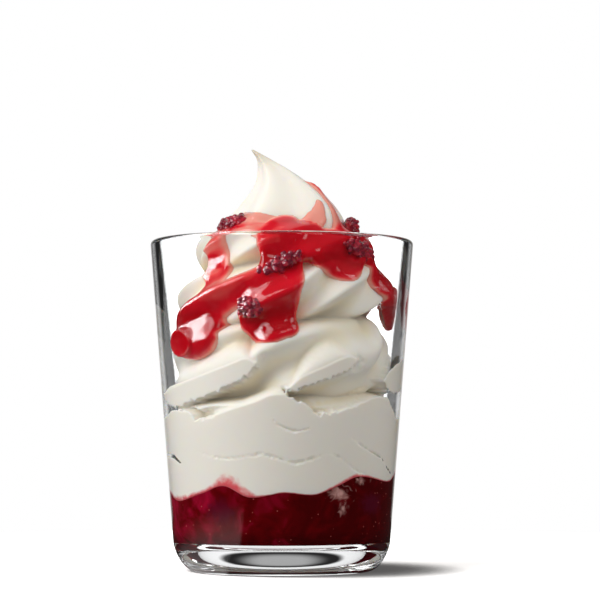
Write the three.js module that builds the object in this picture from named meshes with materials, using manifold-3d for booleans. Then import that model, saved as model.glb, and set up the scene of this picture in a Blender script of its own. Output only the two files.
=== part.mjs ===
// Ice cream sundae: soft serve piped in a coil on berry sauce, in a clear tapered tumbler, with more
// berry sauce and crushed berries on top.
// Millimetres, +Z up. The origin is the middle of the foot, and the front faces -Y.
// Azimuths are in degrees from the front, positive towards +X.
import * as THREE from "three";
import { mergeVertices } from "three/addons/utils/BufferGeometryUtils.js";
import Module from "manifold-3d";

// ---------- Driving dimensions ----------

// Tumbler
const GLASS_HEIGHT = 105;
const RIM_RADIUS = 42; // outside, where the rim starts to round over
const RIM_ROUND = 1.45; // radius of the fire-polished rim
const FOOT_RADIUS = 34.55; // outside, at the top of the rounded foot
const FOOT_HEIGHT = 10;
const FOOT_SQUARENESS = 1.65; // exponent of the foot's rounded corner: 2 is an ellipse
const CONTACT_OUTER = 28; // the flat ring that the tumbler stands on
const CONTACT_INNER = 24;
const PUNT_DEPTH = 1.2; // hollow under the base
const BORE_FOOT = 28.8; // inside radius at FOOT_HEIGHT
const BORE_SLOPE = 1 / 9; // growth of the inside radius with height
const BORE_FLOOR = 8.4; // top of the solid base
const BORE_CORNER = 6; // radius between the inside wall and the base
const GLASS_SEGMENTS = 48;

// Gap between pieces that touch
const GAP = 0.3;

// Soft serve: the course of the piped rope. Turn 0 is at the left, and a turn is 360 degrees
// anticlockwise from above, so 0.25 is the front and 0.5 the right.
// Columns: turn, height of the rope's middle, reach from the axis, half thickness
const ROPE = [
  [-2.25, 22, 36, 11],
  [-1.75, 26, 36, 12],
  [-1.5, 25, 36, 12],
  [-1.25, 34, 36, 11],
  [-1, 44, 35.6, 9.4],
  [-0.77, 45.4, 35.6, 9.6],
  [-0.69, 45, 33.4, 11.2],
  [-0.58, 45.4, 35.4, 12],
  [-0.5, 46, 36.4, 14],
  [-0.25, 54, 36, 12],
  [0, 62.4, 35.6, 12.2],
  [0.2, 65.6, 32.2, 13.2],
  [0.27, 65.8, 31.8, 13.2],
  [0.34, 66.2, 33.4, 13],
  [0.4, 67, 33.6, 12.6],
  [0.5, 68, 33.2, 12],
  [0.75, 74.5, 33, 11.4],
  [1, 82, 32.2, 10.2],
  [1.25, 86.8, 30.2, 10.4],
  [1.5, 87.8, 30.6, 10.2],
  [1.75, 92.5, 28.2, 9.6],
  [2, 98.6, 26.2, 9.4],
  [2.25, 101, 25.6, 9],
  [2.5, 100.2, 26, 8.4],
  [2.75, 103.6, 23.4, 8],
  [3, 106, 20, 7],
  [3.25, 107, 17, 6],
];
const ROPE_DEPTH = 11; // how far the rope bulges out from the crease between two turns
const CORE_FIT = 12; // the solid core lies this far inside the rope's reach

// The star nozzle leaves flutes that wind round the rope.
const FLUTES = 5;
// Columns: turn, height of the flutes, crest: 2 is round, and below that it is crisp and the
// valley broad
const FLUTE = [
  [-2.25, 3, 1.4],
  [-0.5, 3.4, 1.6],
  [0.05, 4.6, 1.9],
  [0.2, 6.4, 2],
  [0.27, 5.8, 2],
  [0.34, 2.6, 2],
  [0.39, 2.6, 1.7],
  [0.43, 5, 1.5],
  [0.6, 4.4, 1.4],
  [1.35, 4.8, 1.35],
  [2, 3.6, 1.35],
  [3.25, 2.4, 1.35],
];
// Columns: turn, angle of the first crest round the rope in degrees
const FLUTE_TWIST = [
  [-2.25, -740],
  [-1, -290],
  [0.022, -42],
  [0.111, -33],
  [0.183, -14],
  [0.2, -7],
  [0.228, 17],
  [0.275, 38],
  [0.311, 53],
  [0.347, 66],
  [0.385, 71],
  [0.405, 80],
  [0.43, 112],
  [0.486, 142],
  [1.26, 504],
  [1.35, 576],
  [1.46, 634],
  [2.25, 1180],
  [3.25, 1600],
];

// The pulled-up peak. Columns: height, shift of its middle towards +X, radius
const PEAK = [
  [98, 0, 14],
  [103, 0, 19],
  [107, 0.4, 19.2],
  [110.5, 1.4, 18.4],
  [113.3, 1.9, 17],
  [116.2, 2.2, 14.8],
  [119.7, 1.8, 11.8],
  [123.5, 0.5, 8.4],
  [127.7, -2.2, 5.1],
  [131.5, -5.8, 2.1],
  [133.6, -8.4, 0.9],
  [134.7, -9.6, 0.3],
];
const PEAK_FLUTE_SHARE = 0.21; // height of the peak's flutes as a share of its radius
const PEAK_FLUTE_MIDDLE = 0.4; // the part of a flute that lies on the peak's own radius
const PEAK_FLUTE_AZIMUTH = 42;
const PEAK_FLUTE_CREST = 1.35;
const TIP_DROP = 0.4; // the last ring is this far below the tip

// Berry sauce under the soft serve: height of its top at the wall. Columns: azimuth, height
const SAUCE_LEVEL = [
  [-150, 27],
  [-120, 28.4],
  [-91, 25.3],
  [-73, 22.6],
  [-48, 25.3],
  [-33, 27.6],
  [-18, 24.2],
  [1, 25.6],
  [18, 25],
  [32, 27.7],
  [45, 30.4],
  [76, 28.6],
  [95, 31.6],
  [125, 27.5],
  [160, 25.5],
];
const SAUCE_LEVEL_MIDDLE = 26;

// Berry sauce on top: strokes of sauce over the cream, each a course of places where it is at
// least so wide. Columns: azimuth, height, half width, thickness
const POURED = {
  collar: [
    [-180, 105.5, 6, 1.5],
    [-140, 106.6, 5, 1.5],
    [-100, 108.4, 3, 1.1],
    [-60, 106.8, 3.4, 1.3],
    [-28, 107.3, 2.6, 1.2],
    [-3, 105, 4, 1.6],
    [7, 104, 4, 1.8],
    [22, 104.2, 4, 1.9],
    [40, 103, 4.6, 2.2],
    [60, 103, 4.8, 2.6],
    [95, 103, 4.8, 2.4],
    [135, 104.6, 6, 1.6],
    [180, 105.5, 6, 1.5],
  ],
  glaze: [
    [-100, 109.4, 3.6, 0.6],
    [-60, 109.8, 3.8, 0.6],
    [-28, 109.4, 3.2, 0.6],
    [-3, 107.6, 3, 0.6],
    [7, 106, 2.8, 0.7],
    [20, 107, 3, 0.7],
  ],
  leftDrip: [
    [-55, 108, 4.6, 1.3],
    [-53, 103, 4.8, 1.4],
    [-51.5, 99, 4.3, 1.3],
    [-49, 94, 5.4, 1.4],
    [-43, 89, 4.4, 1.5],
    [-45, 85.4, 4.6, 1.8],
    [-51.5, 80, 6.8, 3.2],
    [-54.5, 75.6, 9.4, 3.8],
    [-54.5, 72, 6, 3.8],
  ],
  band: [
    [-3, 91, 6, 2.2],
    [-17, 88.5, 5, 2],
    [-31, 86, 4.7, 1.7],
    [-44, 83, 5.5, 1.7],
  ],
  middleDrip: [
    [-1, 104, 8, 2],
    [0, 98, 7.2, 2.2],
    [-1.5, 92, 7, 2.6],
    [-6, 85, 8.4, 2.8],
    [-8.5, 80, 8.6, 3.2],
    [-6.5, 77.2, 6.2, 3.4],
  ],
  middleDripFoot: [
    [2, 76.6, 4, 3.4],
    [-12.5, 75, 3.9, 3.4],
  ],
  rightLobe: [
    [12, 103, 7.5, 2.8],
    [22, 102.6, 7, 3.2],
    [40, 97.4, 7.2, 2.5],
    [58, 102, 7, 2.8],
    [76, 102.4, 6.2, 2.8],
  ],
  rightDrip: [
    [74, 101, 6, 2.4],
    [80, 97, 6, 3.2],
    [84, 93, 6, 4],
    [86, 89, 6, 4.4],
    [90, 84, 5, 4.6],
    [91, 79, 3.8, 4.6],
  ],
  pool: [
    [22, 106.6, 4.4, 0.9],
    [28.5, 110, 3.4, 0.7],
    [32, 113, 1.9, 0.6],
    [36.5, 116.2, 0.9, 0.6],
  ],
  strip: [
    [56, 106, 4.8, 1.3],
    [61, 111, 5.2, 1.2],
    [67.5, 115.5, 5.4, 1.2],
    [70, 119, 4.4, 1],
    [68, 122, 2.2, 0.8],
  ],
  backRightDrip: [
    [140, 103, 6, 1.8],
    [141, 96, 5, 2],
    [142, 88, 4.8, 2.2],
    [143, 84, 5, 2.8],
  ],
  backDrip: [
    [178, 103, 7, 1.8],
    [184, 96, 6, 2],
    [182, 92, 5.6, 2.6],
  ],
  backLeftDrip: [
    [-140, 103, 6, 1.8],
    [-137, 95, 5, 2],
    [-131, 86, 5, 2.2],
    [-130, 79, 5.8, 3],
  ],
};
// A stroke's degrees are turned into mm at a radius that shrinks between these heights.
const POUR_SPREAD_RADIUS = [28, 13.5];
const POUR_SPREAD_HEIGHT = [102, 118];
const POUR_BLEND = 0.8; // fillet between strokes
const POUR_EDGE = 1.6; // the sauce's rounded edge is this wide, and wider where it is thick
const POUR_UNDER = 1.2; // where there is none, its surface runs this far under the cream's
// The right drip hangs free of the cream low down, against the glass.
// Columns: height, thickness
const HANG_THICKNESS = [
  [75, 0.6],
  [75.8, 1.6],
  [77.5, 2.6],
  [82, 4.2],
  [86, 4.4],
];
const HANG_AZIMUTH = 88;
const HANG_WIDTH = [25, 35]; // it is free up to so many degrees to either side
const HANG_HEIGHT = [85, 90]; // it is free below this and lies on the cream above

// Pieces of berry: clusters of drupelets. Columns: azimuth, height, how far the middle is from the
// cream, half length, half height, half depth, tilt in degrees
const BERRIES = [
  [-61, 109.4, 1.6, 8, 3.2, 4.2, -8],
  [94, 109.8, 2.8, 3.6, 3, 3, 20],
  [60, 100, 2.4, 9.4, 3.7, 3.8, 14],
  [-2.5, 94.8, 2.2, 8.4, 3, 2.8, -28],
  [-17, 82, 2.5, 4.2, 3.5, 2.9, 35],
  [150, 105, 2.2, 4.6, 3, 3, 10],
  [-148, 97, 2.2, 4, 3, 2.8, -15],
];
const DRUPELET_RADIUS = 1.15;
const DRUPELETS = 22;
const BERRY_CORE = 0.9; // size of the core inside the drupelets, as a share of the piece
const BERRY_CLEAR = 1; // room that a piece leaves to the glass
const BERRY_DETAIL = 2;

const CREAM_COLUMNS = 60;
const CREAM_LOW_ROWS = 6; // between the bottom sauce and LEVEL_ROWS_FROM
const CREAM_ROWS = 43; // level rows above it
const LEVEL_ROWS_FROM = 40;
const POUR_LOW = 64; // the heights that the top sauce stays within
const POUR_HIGH = 126;
const BED_MARGIN = 4; // what the top sauce rests on runs on for this far below and above it

// ---------- Materials ----------

const MATERIALS = {
  glass: new THREE.MeshStandardMaterial({
    color: "#e9f1f2",
    roughness: 0.03,
    metalness: 0,
    transparent: true,
    opacity: 0.3,
  }),
  cream: new THREE.MeshStandardMaterial({ color: "#f4ecdf", roughness: 0.55, metalness: 0 }),
  sauceTop: new THREE.MeshStandardMaterial({ color: "#a8111f", roughness: 0.12, metalness: 0 }),
  sauceBottom: new THREE.MeshStandardMaterial({ color: "#5a0710", roughness: 0.15, metalness: 0 }),
  berry: new THREE.MeshStandardMaterial({ color: "#4d0a1c", roughness: 0.25, metalness: 0 }),
};

// ---------- Curves and surfaces ----------

const { degToRad, clamp, lerp, inverseLerp, euclideanModulo, smoothstep } = THREE.MathUtils;

// A smooth curve through a table's rows, read at x in its first column. A table with a period
// goes round, and any other holds its end values.
function read(table, x, column, period = 0) {
  const count = table.length;
  const at = (i) => {
    if (!period) {
      const row = table[clamp(i, 0, count - 1)];
      return [row[0] + (i < 0 ? i : i >= count ? i - count + 1 : 0), row[column]];
    }
    const lap = Math.floor(i / count);
    const row = table[i - lap * count];
    return [row[0] + lap * period, row[column]];
  };
  const start = table[0][0];
  const u = period
    ? start + euclideanModulo(x - start, period)
    : clamp(x, start, table[count - 1][0]);
  let i = 0;
  while (i < count - (period ? 1 : 2) && at(i + 1)[0] <= u) i += 1;
  const [[xa, ya], [xb, yb], [xc, yc], [xd, yd]] = [at(i - 1), at(i), at(i + 1), at(i + 2)];
  const t = (u - xb) / (xc - xb);
  const slopeB = ((yc - ya) / (xc - xa)) * (xc - xb);
  const slopeC = ((yd - yb) / (xd - xb)) * (xc - xb);
  const rise = t * t * (3 - 2 * t);
  return (
    lerp(yb, yc, rise) + t * (1 - t) * (1 - t) * slopeB - t * t * (1 - t) * slopeC
  );
}

const boreRadius = (z) => BORE_FOOT + (z - FOOT_HEIGHT) * BORE_SLOPE;

const sauceLevel = (azimuth) => read(SAUCE_LEVEL, azimuth, 1, 360);

// 1 on the crest of a flute and 0 in the valley, with a crest each whole turn of phase.
const fluteCrest = (phase, roundness) => 1 - Math.abs(Math.sin(phase / 2)) ** roundness;

// How far the cream reaches from its middle line at one azimuth and height, before the glass
// stops it.
function creamReach(azimuth, z) {
  let reach = 0;
  const firstTurn = (azimuth + 90) / 360;
  for (let lap = -3; lap <= 3; lap += 1) {
    const turn = firstTurn + lap;
    if (turn < ROPE[0][0] || turn > ROPE.at(-1)[0]) continue;
    const half = read(ROPE, turn, 3);
    const lift = (z - read(ROPE, turn, 1)) / half;
    if (Math.abs(lift) >= 1) continue;
    const round = Math.asin(lift);
    const phase = FLUTES * (round - degToRad(read(FLUTE_TWIST, turn, 1)));
    const crest = fluteCrest(phase, read(FLUTE, turn, 2));
    const high = read(FLUTE, turn, 1);
    const bulge = (ROPE_DEPTH + high * (crest - 0.5)) * Math.cos(round);
    reach = Math.max(reach, read(ROPE, turn, 2) - ROPE_DEPTH + bulge);
  }
  if (z > PEAK[0][0]) {
    const crest = fluteCrest(FLUTES * degToRad(azimuth - PEAK_FLUTE_AZIMUTH), PEAK_FLUTE_CREST);
    reach = Math.max(reach, read(PEAK, z, 2) * (1 + PEAK_FLUTE_SHARE * (crest - PEAK_FLUTE_MIDDLE)));
  } else {
    reach = Math.max(reach, read(ROPE, firstTurn + 1, 2) - CORE_FIT);
  }
  return reach;
}

const creamRadius = (azimuth, z) => Math.min(creamReach(azimuth, z), boreRadius(z) - GAP);

const creamMiddle = (z) => (z > PEAK[0][0] ? read(PEAK, z, 1) : 0);

// A point at an azimuth, a radius from a middle line shifted towards +X, and a height.
function point(azimuth, radius, z, shift = 0) {
  const a = degToRad(azimuth);
  return [shift + radius * Math.sin(a), -radius * Math.cos(a), z];
}

// How far inside a stroke of sauce a place is, in mm over the cream, and how thick it is there.
function strokeAt(stroke, azimuth, z) {
  const rise = clamp(inverseLerp(...POUR_SPREAD_HEIGHT, z), 0, 1);
  const spread = degToRad(lerp(...POUR_SPREAD_RADIUS, rise));
  let best = { inside: -Infinity, thick: 0 };
  for (let i = 0; i < stroke.length - 1; i += 1) {
    const [a, b] = [stroke[i], stroke[i + 1]];
    const across = (from, to) => (euclideanModulo(to - from + 180, 360) - 180) * spread;
    const [ax, az] = [across(azimuth, a[0]), a[1] - z];
    const [dx, dz] = [across(a[0], b[0]), b[1] - a[1]];
    const t = clamp(-(ax * dx + az * dz) / (dx * dx + dz * dz), 0, 1);
    const inside = lerp(a[2], b[2], t) - Math.hypot(ax + dx * t, az + dz * t);
    if (inside > best.inside) best = { inside, thick: lerp(a[3], b[3], t) };
  }
  return best;
}

// Thickness of the top sauce over the cream, below 0 where there is none.
function pouredThickness(azimuth, z) {
  let total = -POUR_UNDER;
  for (const stroke of Object.values(POURED)) {
    const { inside, thick } = strokeAt(stroke, azimuth, z);
    const fill = clamp(inside / (POUR_EDGE + (thick * thick) / 4), 0, 1);
    const depth = inside > 0 ? thick * Math.sqrt(1 - (1 - fill) ** 2) : Math.max(inside, -POUR_UNDER);
    const meet = Math.max(POUR_BLEND - Math.abs(total - depth), 0);
    total = Math.max(total, depth) + (meet * meet) / (4 * POUR_BLEND);
  }
  return total;
}

// A closed surface from rings of points that go round anticlockwise from above, lowest ring
// first, with a point in the middle of the lowest and of the highest ring.
function closedRings(rings, low, high) {
  const columns = rings[0].length;
  const positions = [...rings.flat(), low, high].flat();
  const lowIndex = rings.length * columns;
  const faces = [];
  for (let i = 0; i < columns; i += 1) {
    const j = (i + 1) % columns;
    faces.push(lowIndex, j, i);
    for (let row = 0; row < rings.length - 1; row += 1) {
      const a = row * columns;
      const b = a + columns;
      faces.push(a + i, a + j, b + j, a + i, b + j, b + i);
    }
    const top = lowIndex - columns;
    faces.push(top + i, top + j, lowIndex + 1);
  }
  const geometry = new THREE.BufferGeometry();
  geometry.setAttribute("position", new THREE.Float32BufferAttribute(positions, 3));
  geometry.setIndex(faces);
  return geometry;
}

// ---------- Solids, for cutting and joining ----------

const wasm = await Module();
wasm.setup();

function toSolid(geometry) {
  const bare = geometry.clone();
  bare.deleteAttribute("normal");
  bare.deleteAttribute("uv");
  const merged = mergeVertices(bare, 1e-4);
  return new wasm.Manifold(
    new wasm.Mesh({
      numProp: 3,
      vertProperties: merged.attributes.position.array,
      triVerts: new Uint32Array(merged.index.array),
    }),
  );
}

function toGeometry(solid) {
  const mesh = solid.getMesh();
  const geometry = new THREE.BufferGeometry();
  geometry.setAttribute("position", new THREE.BufferAttribute(mesh.vertProperties, 3));
  geometry.setIndex(new THREE.BufferAttribute(mesh.triVerts, 1));
  return geometry;
}

const largestBody = (solid) =>
  solid.decompose().reduce((a, b) => (a.volume() > b.volume() ? a : b));

const azimuths = (columns) => Array.from({ length: columns }, (_, i) => (360 * i) / columns - 180);

// ---------- Pieces ----------

// The tumbler: thick straight walls on a solid base, rounded at the foot and the rim.
function tumblerGeometry() {
  const profile = [];
  const add = (r, z) => profile.push(new THREE.Vector2(r, z));
  const arc = (steps, at) => {
    for (let i = 0; i <= steps; i += 1) at(i / steps);
  };
  arc(3, (t) => add(CONTACT_INNER * t, PUNT_DEPTH * (1 - t * t)));
  add(CONTACT_OUTER, 0);
  arc(5, (t) => {
    const rise = 1 - Math.cos((t * Math.PI) / 2);
    if (t === 0) return;
    const out = (1 - (1 - rise) ** FOOT_SQUARENESS) ** (1 / FOOT_SQUARENESS);
    add(lerp(CONTACT_OUTER, FOOT_RADIUS, out), FOOT_HEIGHT * rise);
  });
  const rimZ = GLASS_HEIGHT - RIM_ROUND;
  arc(4, (t) => {
    const a = t * Math.PI;
    add(RIM_RADIUS - RIM_ROUND + RIM_ROUND * Math.cos(a), rimZ + RIM_ROUND * Math.sin(a));
  });
  const corner = BORE_FLOOR + BORE_CORNER;
  arc(4, (t) => {
    const a = (t * Math.PI) / 2;
    add(
      boreRadius(corner) - BORE_CORNER * (1 - Math.cos(a)),
      corner - BORE_CORNER * Math.sin(a),
    );
  });
  add(0, BORE_FLOOR);
  return new THREE.LatheGeometry(profile, GLASS_SEGMENTS).rotateX(Math.PI / 2);
}

const tipHeight = PEAK.at(-1)[0];
const levelHeights = Array.from({ length: CREAM_ROWS }, (_, row) =>
  lerp(LEVEL_ROWS_FROM, tipHeight - TIP_DROP, row / (CREAM_ROWS - 1)),
);

// A ring round the cream at one height, at a radius that depends on the azimuth.
const levelRing = (z, radius) =>
  azimuths(CREAM_COLUMNS).map((azimuth) => point(azimuth, radius(azimuth, z), z, creamMiddle(z)));

// A closed surface through level rings between two heights.
function levelSurface(low, high, radius) {
  const rings = levelHeights.filter((z) => z > low && z < high).map((z) => levelRing(z, radius));
  const cap = (ring) => [creamMiddle(ring[0][2]), 0, ring[0][2]];
  return closedRings(rings, cap(rings[0]), cap(rings.at(-1)));
}

// The soft serve: coiled rope, pressed flat where it meets the glass, up to the leaning peak.
function softServeGeometry() {
  const around = azimuths(CREAM_COLUMNS);
  const lowRings = Array.from({ length: CREAM_LOW_ROWS }, (_, row) =>
    around.map((azimuth) => {
      const z = lerp(sauceLevel(azimuth) + GAP, LEVEL_ROWS_FROM, row / CREAM_LOW_ROWS);
      return point(azimuth, creamRadius(azimuth, z), z);
    }),
  );
  const rings = [...lowRings, ...levelHeights.map((z) => levelRing(z, creamRadius))];
  const tip = [creamMiddle(tipHeight), 0, tipHeight];
  return closedRings(rings, [0, 0, SAUCE_LEVEL_MIDDLE + GAP], tip);
}

// What the top sauce rests on: the cream, or nothing where it hangs by the glass.
function pouredBed(azimuth, z) {
  const cream = creamRadius(azimuth, z);
  const aside = Math.abs(euclideanModulo(azimuth - HANG_AZIMUTH + 180, 360) - 180);
  const hang = (1 - smoothstep(aside, ...HANG_WIDTH)) * (1 - smoothstep(z, ...HANG_HEIGHT));
  return lerp(cream, Math.max(cream, boreRadius(z) - read(HANG_THICKNESS, z, 1)), hang);
}

// The outside of the top sauce, which the glass stops as it stops the cream.
const pouredRadius = (azimuth, z) =>
  Math.min(pouredBed(azimuth, z) + pouredThickness(azimuth, z), boreRadius(z) - GAP);

// The sauce poured over the cream: one skin with drips.
function topSauceGeometry() {
  const poured = toSolid(levelSurface(POUR_LOW, POUR_HIGH, pouredRadius));
  const bed = toSolid(
    levelSurface(POUR_LOW - BED_MARGIN, POUR_HIGH + BED_MARGIN, (azimuth, z) =>
      pouredBed(azimuth, z) + GAP,
    ),
  );
  return toGeometry(largestBody(poured.subtract(bed)));
}

// A piece of berry: drupelets packed over a lumpy core, as one surface round its middle.
function berrySolid(row) {
  const [azimuth, z, off, length, height, depth, tilt] = row;
  const middles = Array.from({ length: DRUPELETS }, (_, i) => {
    const up = 1 - (2 * (i + 0.5)) / DRUPELETS;
    const turn = i * Math.PI * (3 - Math.sqrt(5)) + azimuth;
    const flat = Math.sqrt(1 - up * up);
    const shrink = 1 - DRUPELET_RADIUS / Math.max(length, height);
    return new THREE.Vector3(
      length * shrink * flat * Math.cos(turn),
      depth * shrink * flat * Math.sin(turn),
      height * shrink * up,
    );
  });
  const geometry = mergeVertices(
    new THREE.IcosahedronGeometry(1, BERRY_DETAIL).deleteAttribute("normal").deleteAttribute("uv"),
  );
  const places = geometry.attributes.position;
  const ray = new THREE.Vector3();
  for (let i = 0; i < places.count; i += 1) {
    ray.fromBufferAttribute(places, i).normalize();
    const core = 1 / Math.hypot(ray.x / length, ray.y / depth, ray.z / height);
    let reach = core * (1 - DRUPELET_RADIUS / length) * BERRY_CORE;
    for (const middle of middles) {
      const along = middle.dot(ray);
      const aside = middle.lengthSq() - along * along;
      if (aside < DRUPELET_RADIUS ** 2) {
        reach = Math.max(reach, along + Math.sqrt(DRUPELET_RADIUS ** 2 - aside));
      }
    }
    places.setXYZ(i, ray.x * reach, ray.y * reach, ray.z * reach);
  }
  const radius = Math.min(creamRadius(azimuth, z) + off, boreRadius(z) - depth - BERRY_CLEAR);
  geometry
    .rotateY(degToRad(tilt))
    .rotateZ(degToRad(azimuth))
    .translate(...point(azimuth, radius, z, creamMiddle(z)));
  return toSolid(geometry);
}

// Each piece of berry shows above the sauce that it is stuck in.
function berryGeometries() {
  const bed = toSolid(
    levelSurface(POUR_LOW, POUR_HIGH, (azimuth, z) => {
      const sauce = Math.max(pouredRadius(azimuth, z), creamRadius(azimuth, z));
      return sauce + GAP;
    }),
  );
  return BERRIES.map((row) => toGeometry(largestBody(berrySolid(row).subtract(bed))));
}

// The sauce that fills the bottom of the tumbler, up to the uneven underside of the soft serve.
function bottomSauceGeometry() {
  const around = azimuths(CREAM_COLUMNS);
  const floor = BORE_FLOOR + GAP;
  const corner = BORE_FLOOR + BORE_CORNER;
  const fit = BORE_CORNER - GAP;
  const rings = [0, 0.35, 0.7, 1].map((t) =>
    around.map((azimuth) => {
      const a = ((1 - t) * Math.PI) / 2;
      return point(
        azimuth,
        boreRadius(corner) - GAP - fit * (1 - Math.cos(a)),
        corner - fit * Math.sin(a),
      );
    }),
  );
  rings.push(
    around.map((azimuth) => {
      const z = sauceLevel(azimuth);
      return point(azimuth, boreRadius(z) - GAP, z);
    }),
  );
  return closedRings(rings, [0, 0, floor], [0, 0, SAUCE_LEVEL_MIDDLE]);
}

// ---------- The sundae ----------

const sundae = new THREE.Group();

function addPiece(name, geometry, material) {
  const mesh = new THREE.Mesh(geometry, material);
  mesh.name = name;
  sundae.add(mesh);
}

addPiece("glass_tumbler", tumblerGeometry(), MATERIALS.glass);
addPiece("berry_sauce_bottom", bottomSauceGeometry(), MATERIALS.sauceBottom);
addPiece("soft_serve", softServeGeometry(), MATERIALS.cream);
addPiece("berry_sauce_topping", topSauceGeometry(), MATERIALS.sauceTop);
berryGeometries().forEach((geometry, i) =>
  addPiece(`berry_piece_${i + 1}`, geometry, MATERIALS.berry),
);

export default sundae;
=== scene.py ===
"""Ice cream sundae: soft serve coiled in a clear tapered tumbler, with berry sauce under and over it.

Shapes are worked out in millimetres, with azimuths in degrees from the front (-Y), positive
towards +X. Meshes are in metres, in the frame's own place.
"""

import logging
import math
from dataclasses import dataclass
from enum import Enum

import bpy
import numpy as np
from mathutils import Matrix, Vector, noise


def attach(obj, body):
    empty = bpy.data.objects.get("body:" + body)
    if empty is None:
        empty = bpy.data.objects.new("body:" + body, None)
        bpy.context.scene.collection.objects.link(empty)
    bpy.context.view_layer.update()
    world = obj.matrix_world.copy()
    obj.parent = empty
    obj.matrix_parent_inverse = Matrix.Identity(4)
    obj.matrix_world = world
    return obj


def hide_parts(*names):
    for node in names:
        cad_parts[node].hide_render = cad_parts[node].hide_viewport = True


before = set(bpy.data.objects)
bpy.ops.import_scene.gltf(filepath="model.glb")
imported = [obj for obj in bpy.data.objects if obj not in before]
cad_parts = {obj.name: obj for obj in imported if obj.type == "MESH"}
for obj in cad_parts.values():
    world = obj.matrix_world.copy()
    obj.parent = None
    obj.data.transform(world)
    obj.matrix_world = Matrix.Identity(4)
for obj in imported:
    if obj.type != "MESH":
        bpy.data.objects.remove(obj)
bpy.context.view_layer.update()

Pair = tuple[float, float]
Triple = tuple[float, float, float]
Rows = tuple[tuple[float, ...], ...]
Socket = bpy.types.NodeSocket

LOG = logging.getLogger("sundae")
MM = 0.001
BODY = "root"


# ---------- Curves, fields and places ----------


@dataclass(frozen=True)
class Course:
    """A smooth curve through rows of values, read at a place in the first column.

    Attributes:
        rows: The rows, with the first column rising.
        period: Length after which the curve repeats, or 0 where it holds its end values.
    """

    rows: Rows
    period: float = 0.0

    def read(self, place: np.ndarray | float, column: int = 1) -> np.ndarray:
        """Reads one column.

        Args:
            place: Where along the first column.
            column: Which column to read.

        Returns:
            The values, in the shape of place.
        """
        table = np.array(self.rows, dtype=float)
        at, value = table[:, 0], table[:, column]
        x = np.asarray(place, dtype=float)
        if self.period:
            x = at[0] + np.mod(x - at[0], self.period)
            at = np.concatenate([at[-1:] - self.period, at, at[:2] + self.period])
            value = np.concatenate([value[-1:], value, value[:2]])
        else:
            x = np.clip(x, at[0], at[-1])
            at = np.concatenate([at[:1] - 1, at, at[-1:] + 1])
            value = np.concatenate([value[:1], value, value[-1:]])
        i = np.clip(np.searchsorted(at, x, side="right") - 1, 1, len(at) - 3)
        width = at[i + 1] - at[i]
        t = (x - at[i]) / width
        slope_in = (value[i + 1] - value[i - 1]) / (at[i + 1] - at[i - 1]) * width
        slope_out = (value[i + 2] - value[i]) / (at[i + 2] - at[i]) * width
        rise = t * t * (3 - 2 * t)
        line = value[i] + (value[i + 1] - value[i]) * rise
        return line + t * (1 - t) ** 2 * slope_in - t * t * (1 - t) * slope_out


def smooth_step(low: float, high: float, value: np.ndarray) -> np.ndarray:
    """Returns 0 below low and 1 above high, with a soft rise between."""
    t = np.clip((value - low) / (high - low), 0, 1)
    return t * t * (3 - 2 * t)


def soft_min(a: np.ndarray, b: np.ndarray, blend: float) -> np.ndarray:
    """Returns the smaller of two values, rounded where they are within blend of each other."""
    meet = np.maximum(blend - np.abs(a - b), 0)
    return np.minimum(a, b) - meet * meet / (4 * blend)


def soft_max(a: np.ndarray, b: np.ndarray, blend: float) -> np.ndarray:
    """Returns the larger of two values, rounded where they are within blend of each other."""
    return -soft_min(-a, -b, blend)


def around(azimuth: np.ndarray, radius: np.ndarray, height: np.ndarray, shift: np.ndarray) -> np.ndarray:
    """Places at a radius from a middle line that is shifted towards +X.

    Args:
        azimuth: Degrees from the front.
        radius: Distance from the middle line.
        height: Height above the foot.
        shift: How far the middle line is from the axis.

    Returns:
        The places, with a last axis of x, y and z.
    """
    azimuth, radius, height, shift = np.broadcast_arrays(azimuth, radius, height, shift)
    a = np.radians(azimuth)
    return np.stack([shift + radius * np.sin(a), -radius * np.cos(a), height], axis=-1)


def noise_at(places: np.ndarray, size: float, seed: float) -> np.ndarray:
    """Smooth noise, about -1 to 1.

    Args:
        places: Places, with a last axis of x, y and z.
        size: Size of a lump.
        seed: Which noise.

    Returns:
        One value for each place.
    """
    flat = (places.reshape(-1, 3) / size + (seed, -seed, 2 * seed)).tolist()
    return np.array([noise.noise(place) for place in flat]).reshape(places.shape[:-1])


def radians(angles: tuple[float, ...]) -> tuple[float, ...]:
    """Turns degrees into radians."""
    return tuple(math.radians(angle) for angle in angles)


def turn_between(start: np.ndarray | float, end: np.ndarray | float) -> np.ndarray:
    """Degrees from one azimuth to another, the short way round."""
    return np.mod(end - start + 180, 360) - 180


def near_spots(spots: Rows, azimuth: np.ndarray, height: np.ndarray) -> np.ndarray:
    """How near the nearest of some round spots is.

    Args:
        spots: Each spot's azimuth, height, half width in degrees and half height.
        azimuth: Degrees from the front.
        height: Height above the foot.

    Returns:
        1 in the middle of a spot, 0 on its edge and less outside it.
    """
    return np.max([
        1 - np.hypot(turn_between(middle, azimuth) / wide, (height - level) / high)
        for middle, level, wide, high in spots
    ], axis=0)


# ---------- Making meshes ----------


def select_only(piece: bpy.types.Object) -> None:
    """Selects one object and makes it active."""
    bpy.ops.object.select_all(action="DESELECT")
    piece.select_set(True)
    bpy.context.view_layer.objects.active = piece


def set_places(piece: bpy.types.Object, places: np.ndarray) -> None:
    """Moves a mesh's vertices to places in millimetres."""
    piece.data.vertices.foreach_set("co", (places.reshape(-1, 3) * MM).astype(np.float32).ravel())
    piece.data.update()


def set_values(piece: bpy.types.Object, name: str, values: np.ndarray) -> None:
    """Stores one number for each vertex, for the piece's material to read."""
    layer = piece.data.attributes.new(name, "FLOAT", "POINT")
    layer.data.foreach_set("value", values.astype(np.float32).ravel())


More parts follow.
